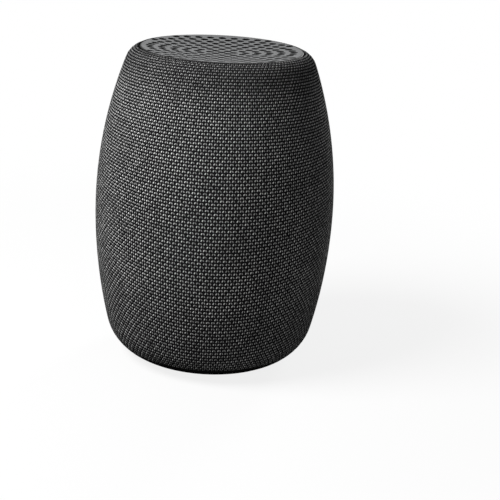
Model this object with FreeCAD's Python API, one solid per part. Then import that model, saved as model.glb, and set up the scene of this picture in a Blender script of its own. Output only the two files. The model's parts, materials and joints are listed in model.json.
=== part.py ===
import FreeCAD, Part
import math
import os

# Smart speaker: a barrel-shaped, fabric-wrapped loudspeaker that stands on a rubber foot.
# Millimetres. Origin at the centre of the foot's underside, +Z up, front towards -Y,
# rear (controls and power inlet) towards +Y.

V = FreeCAD.Vector

# ---- outer form: two large side arcs, a tight shoulder arc and a heel arc ----
MAX_RADIUS = 60.0
WIDEST_Z = 77.0
BODY_HEIGHT = 158.0
SHOULDER_RADIUS = 9.0
SHOULDER_CENTRE_RADIUS = 37.87
HEEL_RADIUS = 23.0
HEEL_CENTRE_RADIUS = 30.71
LIP_REACH = 2.63
HEM_Z = 2.4

# ---- walls and fits ----
FABRIC = 1.0
GLUE_GAP = 0.05
SHELL_WALL = 2.0
SEAT_GAP = 0.1
SLIDE_GAP = 0.3
SCREW_FIT = 0.05

# ---- perforated top dish ----
DISH_GAP = 0.6
DISH_RIM_RISE = 0.2
DISH_DEPTH = 2.2
DISH_WALL = 1.8
DISH_EDGE_ROUND = 0.5
HOLE_PITCH_ACROSS = 5.87
HOLE_PITCH_DEEP = 4.24
HOLE_RADIUS = 1.95
HOLE_ROUNDING = 0.95
HOLE_RIM_WEB = 0.25
DIMPLE_DEPTH = 0.9
SKIRT_WALL = 1.6
SKIRT_DEPTH = 6.3
SCREEN_THICK = 0.35

# ---- ring shaped frame and microphone board under the dish ----
FRAME_LEDGE = 2.5
MIC_BOARD_WIDTH = 5.6
MIC_BOARD_THICK = 1.2
MIC_COUNT = 6
MIC_SIZE = (3.5, 2.65, 1.0)
LED_COUNT = 4
LED_SIZE = (2.0, 1.6, 0.7)
LED_FIRST_ANGLE = 20.0

# ---- foot and base ----
FOOT_STANDOFF = 0.8
FOOT_GROOVE = 0.8
FOOT_MARGIN = 1.72
FOOT_WIDTH = 10.0
FOOT_ROUND = 0.4
BASE_FLOOR = 3.2
BASE_FLOOR_FLARE = 1.2
BASE_SCREW_INSET = 3.8
BASE_SCREW_COUNT = 4
BASE_SCREW_LENGTH = 12.0
BASE_PAD_R = 3.0
BASE_PAD_HEIGHT = 2.0
RIM_GAP = 0.2

# ---- screws: shank radius, head radius, head height ----
SCREW_R = 1.5
SCREW_HEAD_R = 2.7
SCREW_HEAD_H = 1.8
SMALL_SCREW_R = 0.9
SMALL_HEAD_R = 1.7
SMALL_HEAD_H = 1.1
BOSS_R = 3.6

# ---- chassis (electronics bay) ----
BAY_SETBACK = 3.94
BAY_WALL = 2.5
DECK_UNDERSIDE = 40.0
DECK_THICK = 3.0
DECK_HOLE_RADIUS = 7.0
CHASSIS_SCREW_CIRCLE = 21.0
CHASSIS_BOSS = 4.0
CHASSIS_BOSS_CAP = 1.0

# ---- sealed acoustic enclosure ----
CORE_GAP = 1.2
CORE_WALL = 2.5
RADIATOR_MARGIN = 0.44
PORT_BACK_GAP = 1.63
LID_THICK = 4.0
GASKET = 1.0
TOP_TO_LID = 27.0
CORE_SCREW_INSET = 5.5
CORE_SCREW_ANGLES = (50.0, 130.0, 230.0, 310.0)
CORE_SCREW_LENGTH = 16.0
GROMMET_R = 4.0
GROMMET_FLANGE = 1.5
GROMMET_LIP = 1.0

# ---- full-range driver, facing up ----
DRIVER_CLEARANCE = 0.66
DRIVER_FLANGE = 2.0
DRIVER_FLANGE_WIDTH = 4.5
DRIVER_GASKET = 0.8
DRIVER_SCREW_INSET = 2.1
SURROUND_INSET = 5.8
SURROUND_WIDTH = 4.2
SURROUND_THICK = 0.5
GLUE_WIDTH = 1.6
BASKET_LAND = 0.7
BASKET_DEPTH = 21.8
BASKET_WALL = 1.5
BASKET_WINDOW_FROM = 16.1
BASKET_WINDOW_WIDTH = 15.3
BASKET_FLOOR_RADIUS = 23.0
SPIDER_THICK = 0.6
SPIDER_RISE = 2.4
SPIDER_WAVES = 4
SPIDER_LAND = 1.0
FORMER_ABOVE_SPIDER = 3.0
COIL_RADIUS = 10.0
FORMER_WALL = 0.3
WINDING_WALL = 0.5
WINDING_LENGTH = 6.0
COIL_GAP = 0.4
TOP_PLATE = 4.0
TOP_PLATE_RADIUS = 21.0
MAGNET = 10.0
MAGNET_RADIUS = 24.0
YOKE = 4.0
YOKE_RADIUS = 22.0
CONE_WALL = 0.6
DUST_CAP_RISE = 4.0
TERMINAL = (14.0, 6.0)
TERMINAL_LAP = 1.0
TERMINAL_TAB = (2.8, 0.6, 6.0)

# ---- passive radiators, one on each side ----
RADIATOR_RADIUS = 27.5
RADIATOR_FRAME = 3.0
RADIATOR_CHAMFER = 0.9
RADIATOR_RIM = 5.4
RADIATOR_SURROUND_WIDTH = 4.6
RADIATOR_LAND = 0.7
RADIATOR_GLUE_WIDTH = 1.4
RADIATOR_SCREW_INSET = 2.0
RADIATOR_CONE_THICK = 1.2
RADIATOR_WEIGHT_RADIUS = 9.0
RADIATOR_WEIGHT_THICK = 3.0

# ---- waveguide between the driver and the dish ----
WAVEGUIDE_WALL = 2.2
WAVEGUIDE_FLANGE = 3.0
WAVEGUIDE_TOP = 2.5
WAVEGUIDE_GAP = 0.8
WAVEGUIDE_HEAD_GAP = 1.0

# ---- slots of the grille shell ----
SLOT_COLUMNS = 20
SLOT_ROWS = 4
SLOT_WIDTH = 8.0
SLOT_RIB = 5.0
SLOT_BOTTOM = 30.0
SLOT_TOP_DROP = 22.0
STRIP_KEEP_OUT = 20.0

# ---- main board ----
MAIN_BOARD_Z = 14.0
MAIN_BOARD_GAP = 1.0
MAIN_BOARD_THICK = 1.6
MAIN_POST_CIRCLE = 22.0
MAIN_POST_R = 3.0
MAIN_POST_FLOOR = 3.0
PROCESSOR = (14.0, 14.0, 1.4)
HEAT_SINK = (22.0, 22.0, 10.0)
HEAT_SINK_BASE = 2.0
HEAT_SINK_FINS = 7
HEAT_SINK_FIN = 1.2
SHIELD_CAN = (16.0, 12.0, 2.6)
SHIELD_X = 13.0
SHIELD_GAP = 0.96
PROCESSOR_PLACE = (-7.0, -3.0)
SMALL_CHIPS = (((8.0, 6.0, 1.0), 9.0, 3.0), ((5.0, 5.0, 0.9), -9.0, 16.0), ((6.0, 4.0, 1.0), -8.0, -19.0))
CAPACITOR = (3.0, 8.0)
CAPACITOR_PLACES = ((9.0, 12.0), (16.0, 10.0), (12.0, 19.0))
LEAD_CONNECTOR = (8.0, 5.0, 4.0)
LEAD_CONNECTOR_Y = 14.0
LEAD_R = 0.8
LEAD_SPACING = 1.1
LEAD_LOOP_RISE = 10.4
LEAD_INNER_RISE = 12.0
LEAD_TURN_DROP = 13.0
ANTENNA_ARC = 60.0
ANTENNA_HEIGHT = 12.0
ANTENNA_THICK = 0.4

# ---- rear control strip ----
PANEL_WIDTH = 16.0
PANEL_BOTTOM = 15.0
PANEL_TOP = 63.0
PANEL_RECESS = 0.4
PANEL_FIT = 0.25
PANEL_FLANGE = 1.2
PANEL_FLANGE_WIDTH = 2.0
INLET_Z = 21.5
BUTTON_R = 3.8
BUTTON_FIRST_Z = 33.5
BUTTON_PITCH = 11.0
BUTTON_PROUD = 0.2
BUTTON_COLLAR = 0.9
BUTTON_COLLAR_THICK = 1.0
BUTTON_TRAVEL = 0.6
BUTTON_STEM_R = 1.5
MARK_DEPTH = 0.35
MARK_WIDTH = 0.7
MARK_LENGTH = 3.2
PORT_BOARD_DEPTH = 9.84
PORT_BOARD_THICK = 1.2
PORT_BOARD_MARGIN = 1.0
PORT_BOSS_R = 1.9
PORT_BOSS_X = 5.2
SWITCH = (6.0, 2.0, 6.0)
INLET_SHELL = (8.94, 3.26)
INLET_WALL = 0.3
INLET_TONGUE = (6.7, 0.7)
INLET_TONGUE_SETBACK = 1.0
INLET_BACK = 2.0
INLET_FIT = 0.2
PORT_SCREW_BITE = 4.0


# =====================================================================
# helpers
# =====================================================================
def save(name, shape):
    shape.exportStep("parts/" + name + ".step")


def point(r, z):
    return V(r, 0, z)


def on_arc(centre, radius, angle):
    """Point of the XZ plane at an angle (degrees, from +X towards +Z) about a centre."""
    a = math.radians(angle)
    return (centre[0] + radius * math.cos(a), centre[1] + radius * math.sin(a))


def arc(centre, radius, start, end):
    p = [on_arc(centre, radius, a) for a in (start, (start + end) / 2, end)]
    return Part.Arc(point(*p[0]), point(*p[1]), point(*p[2])).toShape()


def line(p, q):
    return Part.makeLine(point(*p), point(*q))


def spin(edges):
    """Solid of revolution about Z from a closed loop of edges in the XZ plane."""
    face = Part.Face(Part.Wire(Part.__sortEdges__(edges)))
    solid = face.revolve(V(0, 0, 0), V(0, 0, 1), 360)
    return solid if solid.Volume > 0 else solid.reversed()


def lathe(points):
    """Solid of revolution about Z from a polygon of (radius, z) points."""
    loop = points + [points[0]]
    return spin([line(p, q) for p, q in zip(loop, loop[1:])])


def ring(inner, outer, low, high):
    return lathe([(inner, low), (outer, low), (outer, high), (inner, high)])


def rod(x, y, low, high, radius):
    return Part.makeCylinder(radius, high - low, V(x, y, low))


def block(low, high):
    size = [b - a for a, b in zip(low, high)]
    return Part.makeBox(size[0], size[1], size[2], V(*low))


def centred_block(size, x, y, low):
    return block((x - size[0] / 2, y - size[1] / 2, low), (x + size[0] / 2, y + size[1] / 2, low + size[2]))


def turned(shape, angle):
    copy = shape.copy()
    copy.rotate(V(0, 0, 0), V(0, 0, 1), angle)
    return copy


def around(radius, angle):
    a = math.radians(angle)
    return (radius * math.cos(a), radius * math.sin(a))


def even_angles(count, first=0.0):
    return [first + 360.0 * i / count for i in range(count)]


def merged(shapes):
    return shapes[0].multiFuse(shapes[1:]).removeSplitter()


def cut_all(shape, tools):
    return shape.cut(Part.makeCompound(tools))


def screw(x, y, seat, length, radius, head_radius, head_height, up=True):
    """Pan-head screw whose head sits on the plane z = seat; the shank points away from the head."""
    side = 1 if up else -1
    head = Part.makeCylinder(head_radius, head_height, V(x, y, seat), V(0, 0, side))
    rim = [e for e in head.Edges if abs(e.BoundBox.ZMin - (seat + side * head_height)) < 1e-6 and e.Closed]
    head = head.makeFillet(min(head_height, head_radius) * 0.4, rim[:1])
    shank = Part.makeCylinder(radius, length, V(x, y, seat), V(0, 0, -side))
    slot = Part.makeBox(head_radius, head_radius / 4, head_height / 2)
    slot.translate(V(x - head_radius / 2, y - head_radius / 8, seat + side * head_height - head_height / 4))
    cross = slot.copy()
    cross.rotate(V(x, y, seat), V(0, 0, 1), 90)
    return head.fuse(shank).cut(slot).cut(cross).removeSplitter()


# =====================================================================
# the barrel profile and its offsets
# =====================================================================
SHOULDER_CENTRE = (SHOULDER_CENTRE_RADIUS, BODY_HEIGHT - SHOULDER_RADIUS)
HEEL_CENTRE = (HEEL_CENTRE_RADIUS, HEEL_RADIUS)


def side_arc_radius(blend_centre, blend_radius):
    """Radius of the arc that stands upright at the widest place and touches a shoulder or heel arc."""
    setback = MAX_RADIUS - blend_centre[0]
    rise = blend_centre[1] - WIDEST_Z
    return (setback ** 2 + rise ** 2 - blend_radius ** 2) / (2 * (setback - blend_radius))


UPPER_SIDE_RADIUS = side_arc_radius(SHOULDER_CENTRE, SHOULDER_RADIUS)
LOWER_SIDE_RADIUS = side_arc_radius(HEEL_CENTRE, HEEL_RADIUS)
UPPER_CENTRE = (MAX_RADIUS - UPPER_SIDE_RADIUS, WIDEST_Z)
LOWER_CENTRE = (MAX_RADIUS - LOWER_SIDE_RADIUS, WIDEST_Z)
LIP_RADIUS = SHOULDER_CENTRE_RADIUS + LIP_REACH


def angle_to(centre, other):
    return math.degrees(math.atan2(other[1] - centre[1], other[0] - centre[0]))


SHOULDER_ANGLE = angle_to(UPPER_CENTRE, SHOULDER_CENTRE)
HEEL_ANGLE = angle_to(LOWER_CENTRE, HEEL_CENTRE)
HEM_ANGLE = -math.degrees(math.asin((HEEL_RADIUS - HEM_Z) / HEEL_RADIUS))
STRIP_FOOT_ANGLE = -80.0


def side_radius(z, inset=0.0):
    """Radius of the side arcs at height z, moved inwards by an inset."""
    centre, radius = (UPPER_CENTRE, UPPER_SIDE_RADIUS) if z >= WIDEST_Z else (LOWER_CENTRE, LOWER_SIDE_RADIUS)
    return centre[0] + math.sqrt((radius - inset) ** 2 - (z - centre[1]) ** 2)


def shoulder_z(r, inset=0.0):
    return SHOULDER_CENTRE[1] + math.sqrt((SHOULDER_RADIUS - inset) ** 2 - (r - SHOULDER_CENTRE[0]) ** 2)


def shoulder_angle_at(r, inset=0.0):
    return math.degrees(math.acos((r - SHOULDER_CENTRE[0]) / (SHOULDER_RADIUS - inset)))


def side_edges(inset, heel_end):
    """Arcs of the barrel at an inset, from the heel at a given angle up to the shoulder."""
    return [
        arc(HEEL_CENTRE, HEEL_RADIUS - inset, heel_end, HEEL_ANGLE),
        arc(LOWER_CENTRE, LOWER_SIDE_RADIUS - inset, HEEL_ANGLE, 0),
        arc(UPPER_CENTRE, UPPER_SIDE_RADIUS - inset, 0, SHOULDER_ANGLE),
    ]


def barrel_edges(inset, heel_end, lip_radius):
    """The side arcs with the shoulder arc, up to the lip."""
    top = shoulder_angle_at(lip_radius, inset)
    return side_edges(inset, heel_end) + [
        arc(SHOULDER_CENTRE, SHOULDER_RADIUS - inset, SHOULDER_ANGLE, top),
    ]


def barrel_skin(outer_inset, inner_inset, lip_radius=LIP_RADIUS):
    """Shell of the barrel between two insets, open at the hem and at the lip."""
    outer = barrel_edges(outer_inset, HEM_ANGLE, lip_radius)
    inner = barrel_edges(inner_inset, HEM_ANGLE, lip_radius)
    hem = line(on_arc(HEEL_CENTRE, HEEL_RADIUS - outer_inset, HEM_ANGLE),
               on_arc(HEEL_CENTRE, HEEL_RADIUS - inner_inset, HEM_ANGLE))
    lip = line((lip_radius, shoulder_z(lip_radius, outer_inset)),
               (lip_radius, shoulder_z(lip_radius, inner_inset)))
    return spin(outer + inner + [hem, lip])


def barrel_side(outer_inset, inner_inset):
    """The side of the barrel only, between two insets: what the rear strip is cut from."""
    outer = side_edges(outer_inset, STRIP_FOOT_ANGLE)
    inner = side_edges(inner_inset, STRIP_FOOT_ANGLE)
    ends = [line(on_arc(HEEL_CENTRE, HEEL_RADIUS - outer_inset, STRIP_FOOT_ANGLE),
                 on_arc(HEEL_CENTRE, HEEL_RADIUS - inner_inset, STRIP_FOOT_ANGLE)),
            line(on_arc(UPPER_CENTRE, UPPER_SIDE_RADIUS - outer_inset, SHOULDER_ANGLE),
                 on_arc(UPPER_CENTRE, UPPER_SIDE_RADIUS - inner_inset, SHOULDER_ANGLE))]
    return spin(outer + inner + ends)


# =====================================================================
# heights and radii that follow from the sizes above
# =====================================================================
SHELL_OUTER_INSET = FABRIC + GLUE_GAP
SHELL_INNER_INSET = SHELL_OUTER_INSET + SHELL_WALL
FRAME_INSET = SHELL_INNER_INSET + SEAT_GAP
BASE_FLOOR_TOP = FOOT_STANDOFF + BASE_FLOOR
FOOT_TOP = FOOT_STANDOFF + FOOT_GROOVE
HEM_RADIUS = on_arc(HEEL_CENTRE, HEEL_RADIUS, HEM_ANGLE)[0]
FLAT_ANGLE = -math.degrees(math.asin((HEEL_RADIUS - FOOT_STANDOFF) / HEEL_RADIUS))
FOOT_OUTER_RADIUS = on_arc(HEEL_CENTRE, HEEL_RADIUS, FLAT_ANGLE)[0] - FOOT_MARGIN
FOOT_INNER_RADIUS = FOOT_OUTER_RADIUS - FOOT_WIDTH
BASE_SCREW_CIRCLE = FOOT_OUTER_RADIUS - BASE_SCREW_INSET
BAY_RADIUS = HEM_RADIUS - BAY_SETBACK
MAIN_BOARD_RADIUS = BAY_RADIUS - BAY_WALL - MAIN_BOARD_GAP

LIP_Z = shoulder_z(LIP_RADIUS)
DISH_RADIUS = LIP_RADIUS - DISH_GAP
HOLE_FIELD_RADIUS = DISH_RADIUS - HOLE_RADIUS - HOLE_RIM_WEB
DISH_RIM_Z = LIP_Z + DISH_RIM_RISE
LEDGE_Z = DISH_RIM_Z - SKIRT_DEPTH
FRAME_BOTTOM = LEDGE_Z - FRAME_LEDGE
MIC_RING_OUTER = DISH_RADIUS - SKIRT_WALL - SLIDE_GAP
MIC_RING_INNER = MIC_RING_OUTER - MIC_BOARD_WIDTH

LID_TOP = BODY_HEIGHT - TOP_TO_LID
LID_BOTTOM = LID_TOP - LID_THICK
CORE_TOP = LID_BOTTOM - GASKET
CORE_BOTTOM = DECK_UNDERSIDE + DECK_THICK
CORE_RADIUS = min(side_radius(LID_TOP + WAVEGUIDE_FLANGE, SHELL_INNER_INSET),
                  side_radius(DECK_UNDERSIDE, SHELL_INNER_INSET)) - CORE_GAP
SIDE_FLAT = math.sqrt(CORE_RADIUS ** 2 - (RADIATOR_RADIUS + RADIATOR_MARGIN) ** 2)
PORT_BOARD_Y = side_radius(PANEL_BOTTOM) - PORT_BOARD_DEPTH
REAR_FLAT = PORT_BOARD_Y - SMALL_HEAD_H - PORT_BACK_GAP
CORE_SCREW_CIRCLE = CORE_RADIUS - CORE_SCREW_INSET

WAVEGUIDE_INNER = CORE_SCREW_CIRCLE - SCREW_HEAD_R - DRIVER_CLEARANCE - WAVEGUIDE_WALL
DRIVER_FLANGE_RADIUS = WAVEGUIDE_INNER - WAVEGUIDE_GAP
DRIVER_HOLE_RADIUS = DRIVER_FLANGE_RADIUS - DRIVER_FLANGE_WIDTH
DRIVER_SCREW_CIRCLE = DRIVER_FLANGE_RADIUS - DRIVER_SCREW_INSET
SURROUND_OUTER = DRIVER_FLANGE_RADIUS - SURROUND_INSET
SURROUND_INNER = SURROUND_OUTER - SURROUND_WIDTH
RADIATOR_SURROUND_OUTER = RADIATOR_RADIUS - RADIATOR_RIM
RADIATOR_SURROUND_INNER = RADIATOR_SURROUND_OUTER - RADIATOR_SURROUND_WIDTH
RADIATOR_SCREW_CIRCLE = RADIATOR_RADIUS - RADIATOR_SCREW_INSET

FLANGE_BOTTOM = LID_TOP + DRIVER_GASKET
FLANGE_TOP = FLANGE_BOTTOM + DRIVER_FLANGE
BASKET_BOTTOM = FLANGE_TOP - BASKET_DEPTH - BASKET_WALL
BASKET_FLOOR_TOP = BASKET_BOTTOM + BASKET_WALL
BASKET_MOUTH = SURROUND_OUTER - BASKET_LAND
TOP_PLATE_BOTTOM = BASKET_BOTTOM - TOP_PLATE
MAGNET_BOTTOM = TOP_PLATE_BOTTOM - MAGNET
YOKE_BOTTOM = MAGNET_BOTTOM - YOKE
SPIDER_Z = BASKET_FLOOR_TOP + SPIDER_RISE
FORMER_TOP = SPIDER_Z + SPIDER_THICK + FORMER_ABOVE_SPIDER
SPIDER_OUTER = BASKET_FLOOR_RADIUS - BASKET_WALL
WINDING_OUTER = COIL_RADIUS + FORMER_WALL + WINDING_WALL
RADIATOR_Z = (CORE_BOTTOM + CORE_TOP) / 2
RADIATOR_MOUTH = RADIATOR_SURROUND_OUTER - RADIATOR_LAND
CORE_SCREW_SEAT = LID_TOP + WAVEGUIDE_FLANGE
MIC_BOARD_TOP = LEDGE_Z + MIC_BOARD_THICK
MAIN_BOARD_TOP = MAIN_BOARD_Z + MAIN_BOARD_THICK
BASE_SCREW_SEAT = FOOT_TOP + SCREW_HEAD_H + SEAT_GAP
BASE_PAD_TOP = BASE_FLOOR_TOP + BASE_PAD_HEIGHT

BUTTON_Z = [BUTTON_FIRST_Z + BUTTON_PITCH * i for i in range(3)]
PORT_BOSSES = [
    (-PORT_BOSS_X, (INLET_Z + BUTTON_Z[0]) / 2),
    (PORT_BOSS_X, (BUTTON_Z[1] + BUTTON_Z[2]) / 2),
]
PORT_BOARD_FRONT = PORT_BOARD_Y + PORT_BOARD_THICK
SWITCH_FACE_Y = PORT_BOARD_FRONT + SWITCH[1]
STEM_GAP = BUTTON_TRAVEL + SLIDE_GAP
INLET_MOUTH_RADIUS = side_radius(INLET_Z - INLET_SHELL[1] / 2, PANEL_RECESS)
INLET_MOUTH_Y = math.sqrt(INLET_MOUTH_RADIUS ** 2 - (INLET_SHELL[0] / 2) ** 2)
FAR = 1.5 * MAX_RADIUS


# =====================================================================
# skin: fabric, grille shell, foot and base
# =====================================================================
def pill(width, low_z, high_z, low_y, high_y):
    """Upright slot shape in the XZ plane, extruded along Y."""
    r = width / 2
    body = block((-r, low_y, low_z + r), (r, high_y, high_z - r))
    ends = [Part.makeCylinder(r, high_y - low_y, V(0, low_y, z), V(0, 1, 0)) for z in (low_z + r, high_z - r)]
    return merged([body] + ends)


def strip_opening(skin):
    return skin.cut(pill(PANEL_WIDTH, PANEL_BOTTOM, PANEL_TOP, 0, FAR))


def fabric_sleeve():
    return strip_opening(barrel_skin(0.0, FABRIC))


def grille_shell():
    """Cage that carries the fabric: rows of tall slots, none where the rear strip sits."""
    field = BODY_HEIGHT - SLOT_TOP_DROP - SLOT_BOTTOM
    height = (field - SLOT_RIB * (SLOT_ROWS - 1)) / SLOT_ROWS
    slots = []
    for angle in even_angles(SLOT_COLUMNS, 180.0 / SLOT_COLUMNS):
        for row in range(SLOT_ROWS):
            base = SLOT_BOTTOM + row * (height + SLOT_RIB)
            near_strip = abs(angle - 90.0) < STRIP_KEEP_OUT and base < PANEL_TOP + SLOT_RIB
            if not near_strip:
                slot = block((FOOT_OUTER_RADIUS, -SLOT_WIDTH / 2, base), (FAR, SLOT_WIDTH / 2, base + height))
                slots.append(turned(slot, angle))
    return cut_all(strip_opening(barrel_skin(SHELL_OUTER_INSET, SHELL_INNER_INSET)), slots)


def base_plate():
    """Shallow moulded base that closes the heel, with a groove for the foot and posts for the board."""
    rim_angle = HEM_ANGLE - math.degrees(RIM_GAP / HEEL_RADIUS)
    flat = on_arc(HEEL_CENTRE, HEEL_RADIUS, FLAT_ANGLE)
    outer = on_arc(HEEL_CENTRE, HEEL_RADIUS, rim_angle)
    inner = on_arc(HEEL_CENTRE, HEEL_RADIUS - SHELL_INNER_INSET, rim_angle)
    floor_edge = (BAY_RADIUS + BASE_FLOOR_FLARE, BASE_FLOOR_TOP)
    plate = spin([
        line((0, FOOT_STANDOFF), flat),
        arc(HEEL_CENTRE, HEEL_RADIUS, FLAT_ANGLE, rim_angle),
        line(outer, inner),
        line(inner, floor_edge),
        line(floor_edge, (0, BASE_FLOOR_TOP)),
        line((0, BASE_FLOOR_TOP), (0, FOOT_STANDOFF)),
    ])
    added = []
    removed = [ring(FOOT_INNER_RADIUS, FOOT_OUTER_RADIUS, FOOT_STANDOFF, FOOT_TOP)]
    for angle in even_angles(BASE_SCREW_COUNT, 45.0):
        x, y = around(BASE_SCREW_CIRCLE, angle)
        added.append(rod(x, y, FOOT_TOP, BASE_PAD_TOP, BASE_PAD_R))
        removed.append(rod(x, y, FOOT_STANDOFF, BASE_SCREW_SEAT, SCREW_HEAD_R + SEAT_GAP))
        removed.append(rod(x, y, FOOT_STANDOFF, BASE_PAD_TOP, SCREW_R + SCREW_FIT))
    for angle in even_angles(4):
        x, y = around(MAIN_POST_CIRCLE, angle)
        added.append(rod(x, y, FOOT_TOP, MAIN_BOARD_Z, MAIN_POST_R))
        removed.append(rod(x, y, BASE_FLOOR_TOP, MAIN_BOARD_Z, SMALL_SCREW_R + SCREW_FIT))
    return cut_all(merged([plate] + added), removed)


def foot_ring():
    foot = ring(FOOT_INNER_RADIUS, FOOT_OUTER_RADIUS, 0, FOOT_TOP)
    bottom = [e for e in foot.Edges if abs(e.BoundBox.ZMax) < 1e-6]
    return foot.makeFillet(FOOT_ROUND, bottom)


def base_screws():
    return Part.makeCompound([
        screw(*around(BASE_SCREW_CIRCLE, a), BASE_SCREW_SEAT, BASE_SCREW_LENGTH, SCREW_R, SCREW_HEAD_R,
              SCREW_HEAD_H, up=False)
        for a in even_angles(BASE_SCREW_COUNT, 45.0)
    ])


# =====================================================================
# top: perforated dish, screen, frame, microphone board
# =====================================================================
DISH_SPHERE = (DISH_RADIUS ** 2 + DISH_DEPTH ** 2) / (2 * DISH_DEPTH)
DISH_CENTRE_Z = DISH_RIM_Z - DISH_DEPTH + DISH_SPHERE


def dish_z(r, drop=0.0):
    """Height of the dished face at radius r, or of a face the given distance below it."""
    return DISH_CENTRE_Z - math.sqrt((DISH_SPHERE + drop) ** 2 - r ** 2)


def dish_arc(r, drop):
    p = [(q, dish_z(q, drop)) for q in (0, r / 2, r)]
    return Part.Arc(point(*p[0]), point(*p[1]), point(*p[2])).toShape()


def hole_centres():
    """Rings of 6, 12, 18... holes, nearly oval: closer together from front to back than across."""
    centres = [(0.0, 0.0)]
    for k in range(1, int(HOLE_FIELD_RADIUS / HOLE_PITCH_DEEP) + 2):
        for side in range(6):
            start = V(*around(k, 60.0 * side), 0)
            end = V(*around(k, 60.0 * (side + 1)), 0)
            for step in range(k):
                share = step / k
                on_hexagon = start * (1 - share) + end * share
                on_circle = V(*around(k, 60.0 * (side + share)), 0)
                hole = on_hexagon * (1 - HOLE_ROUNDING) + on_circle * HOLE_ROUNDING
                x = hole.x * HOLE_PITCH_ACROSS
                y = hole.y * HOLE_PITCH_DEEP
                if math.hypot(x, y) <= HOLE_FIELD_RADIUS:
                    centres.append((x, y))
    return centres


def dish_hole(x, y):
    """A hole through the dish or, where it would meet the skirt, a blind dimple."""
    r = math.hypot(x, y)
    through = r + HOLE_RADIUS + HOLE_RIM_WEB <= DISH_RADIUS - SKIRT_WALL
    bottom = LEDGE_Z if through else dish_z(r) - DIMPLE_DEPTH
    return rod(x, y, bottom, BODY_HEIGHT, HOLE_RADIUS)


def top_dish():
    skirt = DISH_RADIUS - SKIRT_WALL
    under = (skirt, dish_z(skirt, DISH_WALL))
    cap = spin([
        dish_arc(DISH_RADIUS, 0.0),
        line((DISH_RADIUS, DISH_RIM_Z), (DISH_RADIUS, LEDGE_Z)),
        line((DISH_RADIUS, LEDGE_Z), (skirt, LEDGE_Z)),
        line((skirt, LEDGE_Z), under),
        dish_arc(skirt, DISH_WALL),
        line((0, dish_z(0, DISH_WALL)), (0, dish_z(0))),
    ])
    rim = [e for e in cap.Edges if e.Closed and abs(e.BoundBox.ZMin - DISH_RIM_Z) < 1e-4]
    cap = cap.makeFillet(DISH_EDGE_ROUND, rim[:1])
    return cut_all(cap, [dish_hole(x, y) for x, y in hole_centres()])


def dust_screen():
    """Fine cloth just below the holes; its edge follows the dish."""
    edge = DISH_RADIUS - SKIRT_WALL - SEAT_GAP
    above = DISH_WALL + SEAT_GAP
    below = above + SCREEN_THICK
    return spin([
        dish_arc(edge, above),
        line((edge, dish_z(edge, above)), (edge, dish_z(edge, below))),
        dish_arc(edge, below),
        line((0, dish_z(0, below)), (0, dish_z(0, above))),
    ])


def mic_screw_points():
    return [around((MIC_RING_INNER + MIC_RING_OUTER) / 2, a) for a in even_angles(4, 45.0)]


def mic_screw_holes(low, high):
    return [rod(x, y, low, high, SMALL_SCREW_R + SCREW_FIT) for x, y in mic_screw_points()]


def top_frame():
    """Ring that carries the dish, the microphone board and the upper edge of the grille shell."""
    radius = SHOULDER_RADIUS - FRAME_INSET
    wall = DISH_RADIUS + SLIDE_GAP
    top = math.degrees(math.acos((wall - SHOULDER_CENTRE[0]) / radius))
    low = on_arc(SHOULDER_CENTRE, radius, SHOULDER_ANGLE)
    high = on_arc(SHOULDER_CENTRE, radius, top)
    frame = spin([
        arc(SHOULDER_CENTRE, radius, SHOULDER_ANGLE, top),
        line(high, (wall, LEDGE_Z)),
        line((wall, LEDGE_Z), (MIC_RING_INNER, LEDGE_Z)),
        line((MIC_RING_INNER, LEDGE_Z), (MIC_RING_INNER, FRAME_BOTTOM)),
        line((MIC_RING_INNER, FRAME_BOTTOM), (low[0], FRAME_BOTTOM)),
        line((low[0], FRAME_BOTTOM), low),
    ])
    return cut_all(frame, mic_screw_holes(FRAME_BOTTOM, LEDGE_Z))


def mic_board():
    board = ring(MIC_RING_INNER, MIC_RING_OUTER, LEDGE_Z, MIC_BOARD_TOP)
    return cut_all(board, mic_screw_holes(LEDGE_Z, MIC_BOARD_TOP))


def ring_of_blocks(size, count, first):
    middle = (MIC_RING_INNER + MIC_RING_OUTER) / 2
    part = centred_block(size, middle, 0, MIC_BOARD_TOP)
    return Part.makeCompound([turned(part, a) for a in even_angles(count, first)])


def mic_board_screws():
    length = MIC_BOARD_THICK + FRAME_LEDGE + WAVEGUIDE_TOP - SLIDE_GAP
    return Part.makeCompound([
        screw(x, y, MIC_BOARD_TOP, length, SMALL_SCREW_R, SMALL_HEAD_R, SMALL_HEAD_H)
        for x, y in mic_screw_points()
    ])


# =====================================================================
# acoustic core: waveguide, lid, gasket, enclosure
# =====================================================================
def core_prism(low, high, inset=0.0):
    """Outline of the acoustic core: a cylinder with a flat on each side and one at the rear."""
    r = CORE_RADIUS - inset
    side = SIDE_FLAT - inset
    cylinder = rod(0, 0, low, high, r)
    return cylinder.common(block((-side, -r - 1, low), (side, REAR_FLAT - inset, high)))


def core_screw_points():
    return [around(CORE_SCREW_CIRCLE, a) for a in CORE_SCREW_ANGLES]


def core_screw_holes(low, high):
    return [rod(x, y, low, high, SCREW_R + SCREW_FIT) for x, y in core_screw_points()]


def driver_screw_points():
    return [around(DRIVER_SCREW_CIRCLE, a) for a in even_angles(4)]


def driver_screw_holes(low, high):
    return [rod(x, y, low, high, SMALL_SCREW_R + SCREW_FIT) for x, y in driver_screw_points()]


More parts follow.
